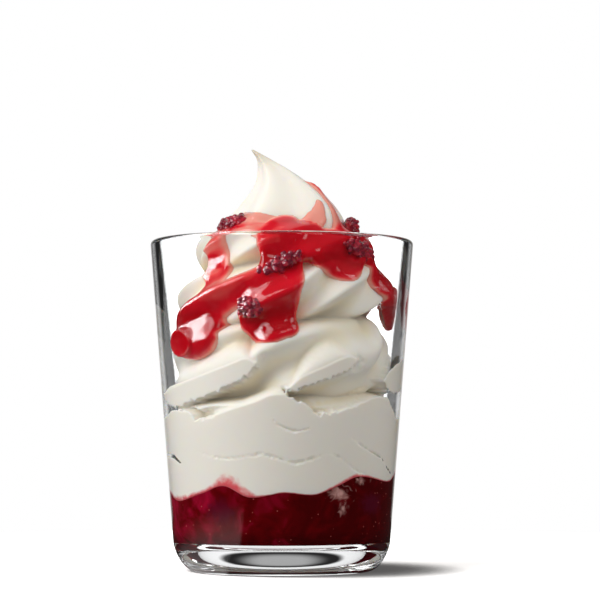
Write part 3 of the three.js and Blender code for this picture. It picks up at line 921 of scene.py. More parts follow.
@dataclass(frozen=True)
class SoftServe:
    """The coil of soft serve, pressed to the glass low down and pulled to a leaning peak."""

    glass: Tumbler
    lattice: Lattice = Lattice()
    # Turn, height of the rope's middle, reach from the axis, half thickness. Turn 0 is at the left.
    rope: Course = Course((
        (-2.25, 22, 36, 11), (-1.75, 26, 36, 12), (-1.5, 25, 36, 12), (-1.25, 34, 36, 11),
        (-1, 44, 35.6, 9.4), (-0.77, 45.4, 35.6, 9.6), (-0.69, 45, 33.4, 11.2), (-0.58, 45.4, 35.4, 12),
        (-0.5, 46, 36.4, 14), (-0.25, 54, 36, 12), (0, 62.4, 35.6, 12.2), (0.2, 65.6, 32.2, 13.2),
        (0.27, 65.8, 31.8, 13.2), (0.34, 66.2, 33.4, 13), (0.4, 67, 33.6, 12.6), (0.5, 68, 33.2, 12),
        (0.75, 74.5, 33, 11.4), (1, 82, 32.2, 10.2), (1.25, 86.8, 30.2, 10.4), (1.5, 87.8, 30.6, 10.2),
        (1.75, 92.5, 28.2, 9.6), (2, 98.6, 26.2, 9.4), (2.25, 101, 25.6, 9), (2.5, 100.2, 26, 8.4),
        (2.75, 103.6, 23.4, 8), (3, 106, 20, 7), (3.25, 107, 17, 6),
    ))
    rope_depth: float = 11  # how far the rope bulges out from the crease between two turns
    core_fit: float = 12  # the core lies this far inside the rope's reach
    laps: tuple[int, int] = (-3, 3)  # whole turns below and above the first that are looked at
    flutes: int = 5
    flute_middle: float = 0.5  # the part of a flute that lies on the rope's own form
    # Turn, height of the flutes, crest: 2 is round, and below that it is crisp and the valley broad
    flute: Course = Course((
        (-2.25, 3, 1.4), (-0.5, 3.4, 1.6), (0.05, 4.6, 1.9), (0.2, 6.4, 2), (0.27, 5.8, 2),
        (0.34, 2.6, 2), (0.39, 2.6, 1.7), (0.43, 5, 1.5), (0.6, 4.4, 1.4), (1.35, 4.8, 1.35),
        (2, 3.6, 1.35), (3.25, 2.4, 1.35),
    ))
    # Turn, angle of the first crest round the rope
    twist: Course = Course((
        (-2.25, -740), (-1, -290), (0.022, -42), (0.111, -33), (0.183, -14), (0.2, -7), (0.228, 17),
        (0.275, 38), (0.311, 53), (0.347, 66), (0.385, 71), (0.405, 80), (0.43, 112), (0.486, 142),
        (1.26, 504), (1.35, 576), (1.46, 634), (2.25, 1180), (3.25, 1600),
    ))
    # Height, shift of the middle towards +X, radius
    peak: Course = Course((
        (98, 0, 14), (103, 0, 19), (107, 0.4, 19.2), (110.5, 1.4, 18.4), (113.3, 1.9, 17),
        (116.2, 2.2, 14.8), (119.7, 1.8, 11.8), (123.5, 0.5, 8.4), (127.7, -2.2, 5.1),
        (131.5, -5.8, 2.1), (133.6, -8.4, 0.9), (134.7, -9.6, 0.3),
    ))
    peak_flute_share: float = 0.21  # height of the peak's flutes as a share of its radius
    peak_flute_middle: float = 0.4
    peak_flute_azimuth: float = 42
    peak_flute_crest: float = 1.35
    # Azimuth, height of the sauce at the wall under the cream
    level: Course = Course((
        (-150, 27), (-120, 28.4), (-91, 25.3), (-73, 22.6), (-48, 25.3), (-33, 27.6), (-18, 24.2),
        (1, 25.6), (18, 25), (32, 27.7), (45, 30.4), (76, 28.6), (95, 31.6), (125, 27.5), (160, 25.5),
    ), period=360)
    level_middle: float = 26
    under_rows: int = 6
    wall_rows: int = 32
    close_rows: int = 81  # level rows where the cream is pressed
    free_rows: int = 92  # level rows above them
    level_rows_from: float = 40
    level_rows_close_to: float = 68
    tip_drop: float = 0.35  # the last row is this far below the tip
    wall_grip: float = 0.15  # the cream reaches this far into the wall where it is pressed
    wall_gap: float = 0.25  # the cream stays this far from the wall where it isn't pressed
    least_tear: float = 0.1  # how far it leaves the wall beyond an unbroken edge
    swell_gap: float = 0.12  # the cream swells to this far from the wall beside an unbroken edge
    fillet: float = 1.2  # between the cream's own form and the wall
    grip_width: float = 0.4  # distance outside an edge over which the grip on the wall ends
    tooth: float = 1.0  # length of the teeth along a torn edge
    # Noise that makes the teeth: size, strength, which noise
    teeth: Rows = ((1.3, 1, 3), (0.6, 0.6, 4))
    torn_reach: Pair = (1.5, 4.5)  # distances from it over which its depth ends
    torn_ends: Pair = (0.3, 0.7)  # how torn an edge is as its swell goes
    low_torn_depth: float = 3.4  # how deep the cream that is pressed all round is torn
    low_swell: float = 1.6  # roundness of its upper edge where it isn't torn
    hollow_passes: int = 300  # evening out of the form that valleys are measured from, for their painted shade
    hollow_ends: Pair = (0.3, 3.4)
    fold_steps: tuple[int, ...] = (-9, -6, -3, 3, 6, 9)  # rows over which a crease is measured, for the painted crease shade
    fold_ends: Pair = (1.2, 6.0)
    fold_low: Pair = (44, 50)  # heights over which the painted crease shade begins
    fold_high: Pair = (112, 100)  # and end
    bleed_top: float = 1.1  # how much sauce has run in at the sauce's own level
    # Azimuth, height over the sauce below in which it has run into the cream
    bleed_height: Course = Course((
        (-85, 1.6), (-70, 2.2), (-50, 1.4), (-40, 2.2), (-30, 5.4), (-22, 4.2), (-12, 1), (5, 0.5),
        (20, 0.6), (40, 1.4), (70, 0.6), (120, 2.4), (200, 1.4), (240, 3),
    ), period=360)
    # Azimuth, height of the upper edge of the cream that is pressed all round
    low_edge: Course = Course((
        (-81, 48.7), (-72, 50.5), (-62, 50.7), (-53, 49.8), (-50, 47.9), (-39, 48.5), (-32, 49.7),
        (-21, 51.8), (-12, 53.6), (-6, 55.1), (0, 55.4), (9, 53.6), (15, 51.5), (18, 49.5), (28, 50),
        (37, 51.5), (50, 54.4), (58, 55.1), (66, 54.5), (71, 52), (80, 48.6), (110, 51), (140, 47),
        (170, 50), (205, 52), (240, 47.5),
    ), period=360)
    # Azimuth, how torn that edge is
    low_torn: Course = Course((
        (-81, 0.2), (-60, 0.6), (-50, 0.9), (-40, 0.6), (-30, 0.1), (0, 0.1), (6, 0.8), (15, 1),
        (30, 0.7), (60, 0.6), (75, 0.9), (100, 0.4), (180, 0.6), (240, 0.3),
    ), period=360)
    patches: tuple[Band, ...] = (
        Band(Course((
            (-82, 54.2, 55.6), (-74, 52.2, 57), (-65, 52, 57.9), (-50, 53.8, 60.2), (-39, 55.5, 62),
            (-24, 58.8, 65), (-18, 60.8, 66.3), (-13, 64, 65),
        ))),
        Band(Course((
            (3, 56.9, 57.2), (7, 56.6, 59.3), (10, 57.6, 60.7), (16, 58.8, 62.4), (22, 60, 64),
            (30, 61.9, 66.2), (35, 63.4, 66.9), (39, 65.5, 66.2),
        ))),
        Band(Course((
            (60, 59.4, 59.8), (64, 57.6, 62.5), (70, 56.6, 64.6), (78, 56.4, 66), (88, 58, 67), (97, 62, 64),
        )), torn_above=0.7),
        Band(Course((
            (118, 60, 60.5), (132, 58.6, 63.8), (150, 59, 65), (163, 62.6, 63.2),
        ))),
        Band(Course((
            (-168, 63, 63.4), (-155, 59.8, 65.6), (-132, 57, 63), (-112, 57.6, 58.2),
        ))),
    )
    crevices: tuple[Crevice, ...] = (
        Crevice(((-4.5, 47.9, 0.1), (-3, 46.6, 0.3), (-1, 46, 0.45), (4, 44.8, 0.6), (7, 44.3, 0.62),
                 (12, 44.8, 0.35), (17, 45.8, 0.05))),
        Crevice(((-50, 38.2, 0.02), (-41, 36.8, 0.3), (-31, 36, 0.38), (-25, 36.1, 0.3), (-19, 36.9, 0.2),
                 (-10, 37.5, 0.3), (-5, 36.6, 0.42), (2, 35.4, 0.5), (8, 34.8, 0.55), (17, 36.1, 0.4),
                 (23, 37.2, 0.26), (28, 37.2, 0.26), (33, 35.9, 0.4), (40, 33.2, 0.5), (46, 31.6, 0.7),
                 (51, 30.9, 0.25), (60, 29.9, 0.1))),
        Crevice(((38, 42.5, 0.1), (41, 41.4, 0.4), (45, 40.2, 0.5), (54, 37.9, 0.5), (60, 36.8, 0.4),
                 (65, 35.8, 0.45), (70, 33.6, 0.5), (78, 31.2, 0.5))),
        Crevice(((-96, 36.9, 0.7), (-84, 36.9, 0.65), (-74, 36.4, 0.75), (-66, 34.4, 0.5)), torn=0.1),
        Crevice(((-66, 35.2, 0.05), (-60, 34.5, 0.12), (-54, 34, 0.16), (-51, 35, 0.12), (-47, 36.2, 0.02)),
                torn=0),
        Crevice(((-25, 35.4, 0.02), (-30, 32.1, 0.1), (-35, 29.8, 0.04)), torn=0),
        Crevice(((104, 40, 0.2), (122, 38, 0.5), (140, 40.4, 0.5), (158, 39, 0.2)),),
        Crevice(((-168, 41, 0.1), (-150, 38.4, 0.5), (-128, 39.2, 0.55), (-108, 37, 0.5)),),
    )

    def crest(self, phase: np.ndarray, roundness: np.ndarray | float) -> np.ndarray:
        """1 on the crest of a flute and 0 in the valley, with a crest each whole turn of phase."""
        return 1 - np.abs(np.sin(phase / 2)) ** roundness

    def reach(self, azimuth: np.ndarray, height: np.ndarray) -> np.ndarray:
        """How far the cream reaches from its middle line before the glass stops it."""
        azimuth, height = np.broadcast_arrays(np.asarray(azimuth, float), np.asarray(height, float))
        first_turn = (azimuth + 90) / 360
        reach = np.zeros(azimuth.shape)
        for lap in range(self.laps[0], self.laps[1] + 1):
            turn = first_turn + lap
            on_rope = (turn >= self.rope.rows[0][0]) & (turn <= self.rope.rows[-1][0])
            lift = (height - self.rope.read(turn, 1)) / self.rope.read(turn, 3)
            bend = np.arcsin(np.clip(lift, -1, 1))
            phase = self.flutes * (bend - np.radians(self.twist.read(turn)))
            crest = self.crest(phase, self.flute.read(turn, 2))
            ridge = self.flute.read(turn, 1) * (crest - self.flute_middle)
            bulge = (self.rope_depth + ridge) * np.cos(bend)
            here = self.rope.read(turn, 2) - self.rope_depth + bulge
            reach = np.where(on_rope & (np.abs(lift) < 1), np.maximum(reach, here), reach)
        phase = self.flutes * np.radians(azimuth - self.peak_flute_azimuth)
        crest = self.crest(phase, self.peak_flute_crest)
        peak = self.peak.read(height, 2) * (1 + self.peak_flute_share * (crest - self.peak_flute_middle))
        core = self.rope.read(first_turn + 1, 2) - self.core_fit
        return np.maximum(reach, np.where(height > self.peak.rows[0][0], peak, core))

    def middle(self, height: np.ndarray) -> np.ndarray:
        """How far the cream's middle line is from the axis."""
        return np.where(height > self.peak.rows[0][0], self.peak.read(height, 1), 0)

    def pressed(self, azimuth: np.ndarray, height: np.ndarray) -> tuple[np.ndarray, ...]:
        """How the cream touches the glass near a place.

        Args:
            azimuth: Degrees from the front.
            height: Height above the foot.

        Returns:
            How far inside the cream that touches the glass it is, how torn the nearest edge is,
            how deep it is torn there, and how round it is where it isn't torn.
        """
        inside = self.low_edge.read(azimuth) - height
        torn = np.clip(self.low_torn.read(azimuth), 0, 1)
        depth, swell = np.full_like(inside, self.low_torn_depth), np.full_like(inside, self.low_swell)
        for patch in self.patches:
            here, rough, full = patch.inside(azimuth, height)
            nearer = here > inside
            torn = np.where(nearer, rough, torn)
            depth = np.where(nearer, patch.torn_depth, depth)
            swell = np.where(nearer, full, swell)
            inside = np.maximum(inside, here)
        for crevice in self.crevices:
            outside = crevice.outside(azimuth, height)
            torn = np.where(outside < inside, crevice.torn, torn)
            inside = np.minimum(inside, outside)
        return inside, torn, depth, swell

    def radius(self, azimuth: np.ndarray, height: np.ndarray) -> np.ndarray:
        """The cream's radius: its own reach, or the wall where it is pressed."""
        wall = self.glass.bore(height)
        inside, torn, torn_depth, swell = self.pressed(azimuth, height)
        places = around(azimuth, wall, height, 0)
        teeth = sum(share * noise_at(places, size, seed) for size, share, seed in self.teeth)
        inside = inside + torn * self.tooth * teeth
        away = np.maximum(-inside, 0)
        near = 1 - smooth_step(*self.torn_reach, away)
        gap = self.wall_gap + (self.least_tear + torn_depth * torn * near) * np.minimum(away, 1)
        free = soft_min(self.reach(azimuth, height), wall - gap, self.fillet)
        swollen = soft_max(free, wall - self.swell_gap - away * away / swell, self.fillet)
        low, high = self.torn_ends
        free = free + (swollen - free) * smooth_step(-high, -low, -torn)
        return free + (wall + self.wall_grip - free) * smooth_step(-self.grip_width, 0, inside)

    def heights(self) -> np.ndarray:
        """Heights of the level rows, closer together where the cream is pressed."""
        last = self.peak.rows[-1][0] - self.tip_drop
        low = np.linspace(self.level_rows_from, self.level_rows_close_to, self.close_rows + 1)[:-1]
        return np.concatenate([low, np.linspace(self.level_rows_close_to, last, self.free_rows)])

    def build(self) -> bpy.types.Object:
        """Builds the cream: its underside, the part behind the wall and the level rows above."""
        azimuth = self.lattice.azimuths()[None, :]
        level = self.level.read(azimuth)
        out = np.linspace(0, 1, self.under_rows + 1)[:-1, None]
        rest = self.level_middle + (level - self.level_middle) * out**2
        under = around(azimuth, out * self.glass.bore(level), rest, 0)
        wall_share = np.linspace(0, 1, self.wall_rows + 1)[:-1, None]
        wall_height = level + (self.level_rows_from - level) * wall_share
        heights = self.heights()
        free_height = np.broadcast_to(heights[:, None], (heights.size, azimuth.size))
        height = np.concatenate([wall_height, free_height])
        azimuths = np.broadcast_to(azimuth, height.shape)
        radius = self.radius(azimuths, height)
        side = around(azimuths, radius, height, self.middle(height))
        tip = self.peak.rows[-1]
        top = np.broadcast_to(np.array([tip[1], 0, tip[0]], float), (1, azimuth.size, 3))
        places = np.concatenate([under, side, top])
        inside, torn = self.pressed(azimuths, height)[:2]
        far_outside = -5
        pad = ((len(under), 1), (0, 0))
        piece = wrapped_grid(
            "soft_serve_coil", places,
            pressed=np.pad(inside, pad, constant_values=far_outside), torn=np.pad(torn, pad),
            # fold: painted shade in the creases
            fold=np.pad(self.fold(height, radius), pad), bleed=np.pad(self.bleed(azimuths, height), pad),
            # hollow: painted shade in the valleys between flutes
            hollow=np.pad(smooth_step(*self.hollow_ends, smoothed(radius, self.hollow_passes) - radius), pad),
        )
        close_seams(piece)
        return piece

    def fold(self, height: np.ndarray, radius: np.ndarray) -> np.ndarray:
        """How deep in a crease each place of the lattice is, from 0 to 1, for the painted crease shade."""
        far = np.max([np.roll(radius, step, axis=0) for step in self.fold_steps], axis=0)
        depth = smooth_step(*self.fold_ends, far - radius)
        return depth * smooth_step(*self.fold_low, height) * smooth_step(*self.fold_high, height)

    def bleed(self, azimuth: np.ndarray, height: np.ndarray) -> np.ndarray:
        """How much of the sauce below has run into the cream, from 0 to 1 and over."""
        return self.bleed_top - (height - self.level.read(azimuth)) / self.bleed_height.read(azimuth)

    def dress(self, piece: bpy.types.Object) -> None:
        """Gives the cream its finish."""
        place_piece(piece, "cream", CreamFinish().material(), "soft_serve")


# ---------- Sauce under the cream ----------


@dataclass(frozen=True)
class BottomSauce:
    """The berry sauce that fills the bottom of the tumbler."""

    glass: Tumbler
    cream: SoftServe
    wall_grip: float = 0.12
    lift: float = 0.06  # film of air over the glass floor, which then mirrors as it does under sauce
    grip_ends: Pair = (30, 50)  # degrees up the rounded corner where the grip begins
    overlap: float = 0.3  # it reaches this far above the cream's lower edge, behind the cream
    top_inset: float = 1  # its top ends this far inside the wall
    rings: int = 8  # of faces on its floor and on its top
    corner_rings: int = 24
    wall_rings: int = 40
    # Each spot: azimuth, height, half width in degrees, half height
    swirls: Rows = (
        (34, 25.4, 13, 4.2), (48, 29.2, 9, 2.6), (36, 20.5, 4.5, 3.4), (-150, 25, 12, 3.5),
    )
    berries: Rows = (
        (-36, 19.8, 15, 6), (58, 22, 14, 5), (150, 18, 16, 6), (-130, 20, 15, 5),
    )

    def build(self) -> bpy.types.Object:
        """Builds the sauce: floor, rounded corner, wall and the surface under the cream."""
        glass, azimuth = self.glass, self.cream.lattice.azimuths()[None, :]
        top = glass.bore_floor + glass.bore_corner
        floor = glass.bore_floor + self.lift
        middle = float(glass.bore(top)) - glass.bore_corner
        out = np.linspace(0, 1, self.rings + 1)[:-1, None]
        flat = around(azimuth, out * middle, floor, 0)
        turn = np.linspace(0, math.pi / 2, self.corner_rings + 1)[:-1, None]
        grip = smooth_step(*self.grip_ends, np.degrees(turn))
        corner_round = glass.bore_corner - self.lift + (self.wall_grip + self.lift) * grip
        corner = around(azimuth, middle + corner_round * np.sin(turn), top - corner_round * np.cos(turn), 0)
        level = self.cream.level.read(azimuth) + self.overlap
        share = np.linspace(0, 1, self.wall_rings + 1)[:, None]
        height = top + (level - top) * share
        wall = around(azimuth, glass.bore(height) + self.wall_grip, height, 0)
        inward = np.linspace(1, 0, self.rings + 1)[1:, None]
        rest = self.cream.level_middle + (level - self.cream.level_middle) * inward
        surface = around(azimuth, inward * (glass.bore(level) - self.top_inset), rest, 0)
        places = np.concatenate([flat, corner, wall, surface])
        across, high = np.degrees(np.arctan2(places[..., 0], -places[..., 1])), places[..., 2]
        milk = np.maximum(near_spots(self.swirls, across, high), -1)
        sunk = np.maximum(near_spots(self.berries, across, high), -1)
        piece = wrapped_grid("berry_sauce_under", places, milk=milk, sunk=sunk)
        close_seams(piece)
        return piece

    def dress(self, piece: bpy.types.Object) -> None:
        """Gives the sauce its finish."""
        place_piece(piece, "sauce_bottom", BottomSauceFinish().material(), "berry_sauce_bottom")


# ---------- Sauce over the cream ----------


def filled(surface: np.ndarray, window: int, curve: float) -> np.ndarray:
    """Bridges the creases of a surface, as a thick sauce does.

    Args:
        surface: Radii in rows.
        window: How many rows the bridge reaches.
        curve: How much the bridge curves for each row.

    Returns:
        The radii with their creases filled.
    """
    steps = range(-window, window + 1)
    high = np.max([np.roll(surface, s, axis=0) - curve * s * s for s in steps], axis=0)
    return np.min([np.roll(high, s, axis=0) + curve * s * s for s in steps], axis=0)


def smoothed(surface: np.ndarray, passes: int) -> np.ndarray:
    """Evens out a lattice of values that goes round in its second axis."""
    body = surface[:, :-1]
    for _ in range(passes):
        up = np.concatenate([body[1:], body[-1:]])
        down = np.concatenate([body[:1], body[:-1]])
        body = (4 * body + up + down + np.roll(body, 1, axis=1) + np.roll(body, -1, axis=1)) / 8
    return np.concatenate([body, body[:, :1]], axis=1)


@dataclass(frozen=True)
class TopSauce:
    """The berry sauce poured over the cream: one skin with drips."""

    glass: Tumbler
    cream: SoftServe
    low: float = 62
    high: float = 126
    rows: int = 129
    blend: float = 0.8  # fillet between strokes
    edge: float = 1.6  # the sauce's rounded edge is this wide, and wider where it is thick
    under: float = 1.2  # where there is none, its face runs this far under the cream's
    bare: float = 0.45  # where it runs deeper than this, it is cut away
    skin: float = 0.6  # its inner face lies this far inside the cream
    # A stroke's degrees are turned into millimetres at a radius that shrinks between these heights
    spread_radius: Pair = (28, 13.5)
    spread_height: Pair = (102, 118)
    # Creases that the sauce bridges: rows that the bridge reaches, its curve, how it is evened out
    bridge_rows: int = 9
    bridge_curve: float = 0.035
    bridge_passes: int = 50
    bridge_dip: float = 0.5  # the bridge never lies deeper in the cream than this
    bridge_ends: Pair = (0.2, 1.4)  # thickness over which the sauce begins to bridge
    # Waves in its face: height, size, which noise
    waves: Rows = ((0.45, 7, 11), (0.14, 2.6, 12))
    wave_ends: Pair = (0.4, 1.6)
    flow_passes: int = 12
    flow_ends: Pair = (0.6, 1.6)
    # Where it touches the wall: azimuth, height, half width in degrees, half height
    touches: Rows = ((-58, 71.6, 8.2, 4.3), (90, 81.5, 11, 7))
    touch_ends: Pair = (-0.12, 0.04)
    touch_least: float = 0.4  # thickness from which it can touch the wall
    wall_gap: float = 0.3
    wall_fillet: float = 3.2
    # Height, thickness of the drip that hangs free between the cream and the wall
    hang_thickness: Course = Course(((75, 0.6), (75.8, 1.6), (77.5, 2.6), (82, 4.2), (86, 4.4)))
    hang_azimuth: float = 88
    hang_width: Pair = (25, 35)
    hang_height: Pair = (85, 90)
    # Each stroke: azimuth, height, half width, thickness. In order: the collar, its glaze, the left
    # drip, the band, the middle drip and its foot, the right lobe, the right drip, the pool and the
    # strip on the peak, and the three drips at the back.
    strokes: tuple[Rows, ...] = (
        ((-180, 105.5, 6, 1.5), (-140, 106.6, 5, 1.5), (-100, 108.4, 3, 1.1), (-60, 106.8, 3.4, 1.3),
         (-28, 107.3, 2.6, 1.2), (-3, 105, 4, 1.6), (7, 104, 4, 1.8), (22, 104.2, 4, 1.9),
         (40, 103, 4.6, 2.2), (60, 103, 4.8, 2.6), (95, 103, 4.8, 2.4), (135, 104.6, 6, 1.6),
         (180, 105.5, 6, 1.5)),
        ((-100, 109.4, 3.6, 0.6), (-60, 109.8, 3.8, 0.6), (-28, 109.4, 3.2, 0.6), (-3, 107.6, 3, 0.6),
         (7, 106, 2.8, 0.7), (20, 107, 3, 0.7)),
        ((-55, 108, 4.6, 1.3), (-53, 103, 4.8, 1.4), (-51.5, 99, 4.3, 1.3), (-49, 94, 5.4, 1.4),
         (-43, 89, 4.4, 1.5), (-45, 85.4, 4.6, 1.8), (-51.5, 80, 6.8, 3.2), (-54.5, 75.6, 9.4, 3.8),
         (-54.5, 72, 6, 3.8)),
        ((-3, 91, 6, 2.2), (-17, 88.5, 5, 2), (-31, 86, 4.7, 1.7), (-44, 83, 5.5, 1.7)),
        ((-1, 104, 8, 2), (0, 98, 7.2, 2.2), (-1.5, 92, 7, 2.6), (-6, 85, 8.4, 2.8),
         (-8.5, 80, 8.6, 3.2), (-6.5, 77.2, 6.2, 3.4)),
        ((2, 76.6, 4, 3.4), (-12.5, 75, 3.9, 3.4)),
        ((12, 103, 7.5, 2.8), (22, 102.6, 7, 3.2), (40, 97.4, 7.2, 2.5), (58, 102, 7, 2.8),
         (76, 102.4, 6.2, 2.8)),
        ((74, 101, 6, 2.4), (80, 97, 6, 3.2), (84, 93, 6, 4), (86, 89, 6, 4.4), (90, 84, 5, 4.6),
         (91, 79, 3.8, 4.6)),
        ((22, 106.6, 4.4, 0.9), (28.5, 110, 3.4, 0.7), (32, 113, 1.9, 0.6), (36.5, 116.2, 0.9, 0.6)),
        ((56, 106, 4.8, 1.3), (61, 111, 5.2, 1.2), (67.5, 115.5, 5.4, 1.2), (70, 119, 4.4, 1),
         (68, 122, 2.2, 0.8)),
        ((140, 103, 6, 1.8), (141, 96, 5, 2), (142, 88, 4.8, 2.2), (143, 84, 5, 2.8)),
        ((178, 103, 7, 1.8), (184, 96, 6, 2), (182, 92, 5.6, 2.6)),
        ((-140, 103, 6, 1.8), (-137, 95, 5, 2), (-131, 86, 5, 2.2), (-130, 79, 5.8, 3)),
    )

    def stroke_at(
        self, stroke: Rows, azimuth: np.ndarray, height: np.ndarray
    ) -> tuple[np.ndarray, np.ndarray]:
        """How far inside a stroke a place is, and how thick the stroke is there."""
        wide, narrow = self.spread_radius
        low, high = self.spread_height
        spread = np.radians(wide + (narrow - wide) * np.clip((height - low) / (high - low), 0, 1))
        best, thickness = np.full(azimuth.shape, -np.inf), np.zeros(azimuth.shape)
        for (a0, z0, w0, t0), (a1, z1, w1, t1) in zip(stroke, stroke[1:]):
            across, up = turn_between(azimuth, a0) * spread, z0 - height
            run, climb = turn_between(a0, a1) * spread, z1 - z0
            t = np.clip(-(across * run + up * climb) / (run * run + climb * climb), 0, 1)
            inside = w0 + (w1 - w0) * t - np.hypot(across + run * t, up + climb * t)
            nearer = inside > best
            thickness = np.where(nearer, t0 + (t1 - t0) * t, thickness)
            best = np.maximum(best, inside)
        return best, thickness

    def thickness(self, azimuth: np.ndarray, height: np.ndarray) -> np.ndarray:
        """Thickness of the sauce over the cream, below 0 where there is none."""
        total = np.full(azimuth.shape, -self.under)
        for stroke in self.strokes:
            inside, thick = self.stroke_at(stroke, azimuth, height)
            fill = np.clip(inside / (self.edge + thick * thick / 4), 0, 1)
            depth = np.where(
                inside > 0, thick * np.sqrt(1 - (1 - fill) ** 2), np.maximum(inside, -self.under)
            )
            total = soft_max(total, depth, self.blend)
        return total

    def hanging(self, azimuth: np.ndarray, height: np.ndarray) -> np.ndarray:
        """1 where the sauce hangs free of the cream, and 0 where it lies on it."""
        full, gone = self.hang_width
        low, high = self.hang_height
        near = smooth_step(-gone, -full, -np.abs(turn_between(self.hang_azimuth, azimuth)))
        return near * smooth_step(-high, -low, -height)

    def build(self) -> bpy.types.Object:
        """Builds the skin: its outer face where there is sauce, then an inner face in the cream."""
        azimuth = self.cream.lattice.azimuths()
        height = np.linspace(self.low, self.high, self.rows)
        azimuth, height = np.meshgrid(azimuth, height)
        cream = self.cream.radius(azimuth, height)
        thick = self.thickness(azimuth, height)
        bridged = smoothed(filled(cream, self.bridge_rows, self.bridge_curve), self.bridge_passes)
        bridged = np.maximum(bridged, cream - self.bridge_dip)
        bed = cream + (bridged - cream) * smooth_step(*self.bridge_ends, thick)
        hang = self.hanging(azimuth, height)
        wall = self.glass.bore(height)
        bed = bed + (np.maximum(bed, wall - self.hang_thickness.read(height)) - bed) * hang
        lumps = around(azimuth, cream, height, 0)
        waves = sum(rise * noise_at(lumps, size, seed) for rise, size, seed in self.waves)
        outer = bed + thick + waves * smooth_step(*self.wave_ends, thick)
        outer = outer + (smoothed(outer, self.flow_passes) - outer) * smooth_step(*self.flow_ends, thick)
        touch = smooth_step(*self.touch_ends, near_spots(self.touches, azimuth, height))
        free = soft_min(outer, wall - self.wall_gap, self.wall_fillet)
        grip = wall + self.cream.wall_grip
        outer = np.where(thick > self.touch_least, free + (grip - free) * touch, free)
        shift = self.cream.middle(height)
        places = around(azimuth, outer, height, shift)
        inner = np.minimum(cream, outer)
        inner = inner + (np.minimum(bed, outer) - inner) * hang
        inner = around(azimuth, inner - self.skin, height, shift)
        bare = (thick < -self.bare).astype(float)
        depth = np.maximum(outer - cream, thick)
        piece = wrapped_grid("berry_sauce_over", places, depth=depth, bare=bare)
        self.trim(piece, inner)
        return piece

    def trim(self, piece: bpy.types.Object, inner: np.ndarray) -> None:
        """Cuts away what lies bare and closes the skin with its inner face.

        Args:
            piece: The outer face, as a wrapped grid.
            inner: Places of the inner face, in the grid's order.
        """
        mesh = piece.data
        set_values(piece, "number", np.arange(len(mesh.vertices)))
        bare = np.empty(len(mesh.vertices), dtype=np.float32)
        mesh.attributes["bare"].data.foreach_get("value", bare)
        select_only(piece)
        bpy.ops.object.mode_set(mode="EDIT")
        bpy.ops.mesh.select_mode(type="VERT")
        bpy.ops.mesh.select_all(action="DESELECT")
        bpy.ops.object.mode_set(mode="OBJECT")
        mesh.vertices.foreach_set("select", bare > 0.5)
        bpy.ops.object.mode_set(mode="EDIT")
        bpy.ops.mesh.delete(type="VERT")
        bpy.ops.mesh.select_all(action="SELECT")
        bpy.ops.mesh.extrude_region_move(TRANSFORM_OT_translate={"value": (0, 0, 0)})
        bpy.ops.object.mode_set(mode="OBJECT")
        chosen = np.empty(len(mesh.vertices), dtype=bool)
        mesh.vertices.foreach_get("select", chosen)
        number = np.empty(len(mesh.vertices), dtype=np.float32)
        mesh.attributes["number"].data.foreach_get("value", number)
        places = np.empty(len(mesh.vertices) * 3, dtype=np.float32)
        mesh.vertices.foreach_get("co", places)
        places = places.reshape(-1, 3)
        places[chosen] = inner.reshape(-1, 3)[number[chosen].astype(int)] * MM
        mesh.vertices.foreach_set("co", places.ravel())
        mesh.update()
        close_seams(piece, reach=2e-6)

    def dress(self, piece: bpy.types.Object) -> None:
        """Gives the sauce its finish."""
        place_piece(piece, "sauce_topping", TopSauceFinish().material(), "berry_sauce_topping")


# ---------- Pieces of berry ----------


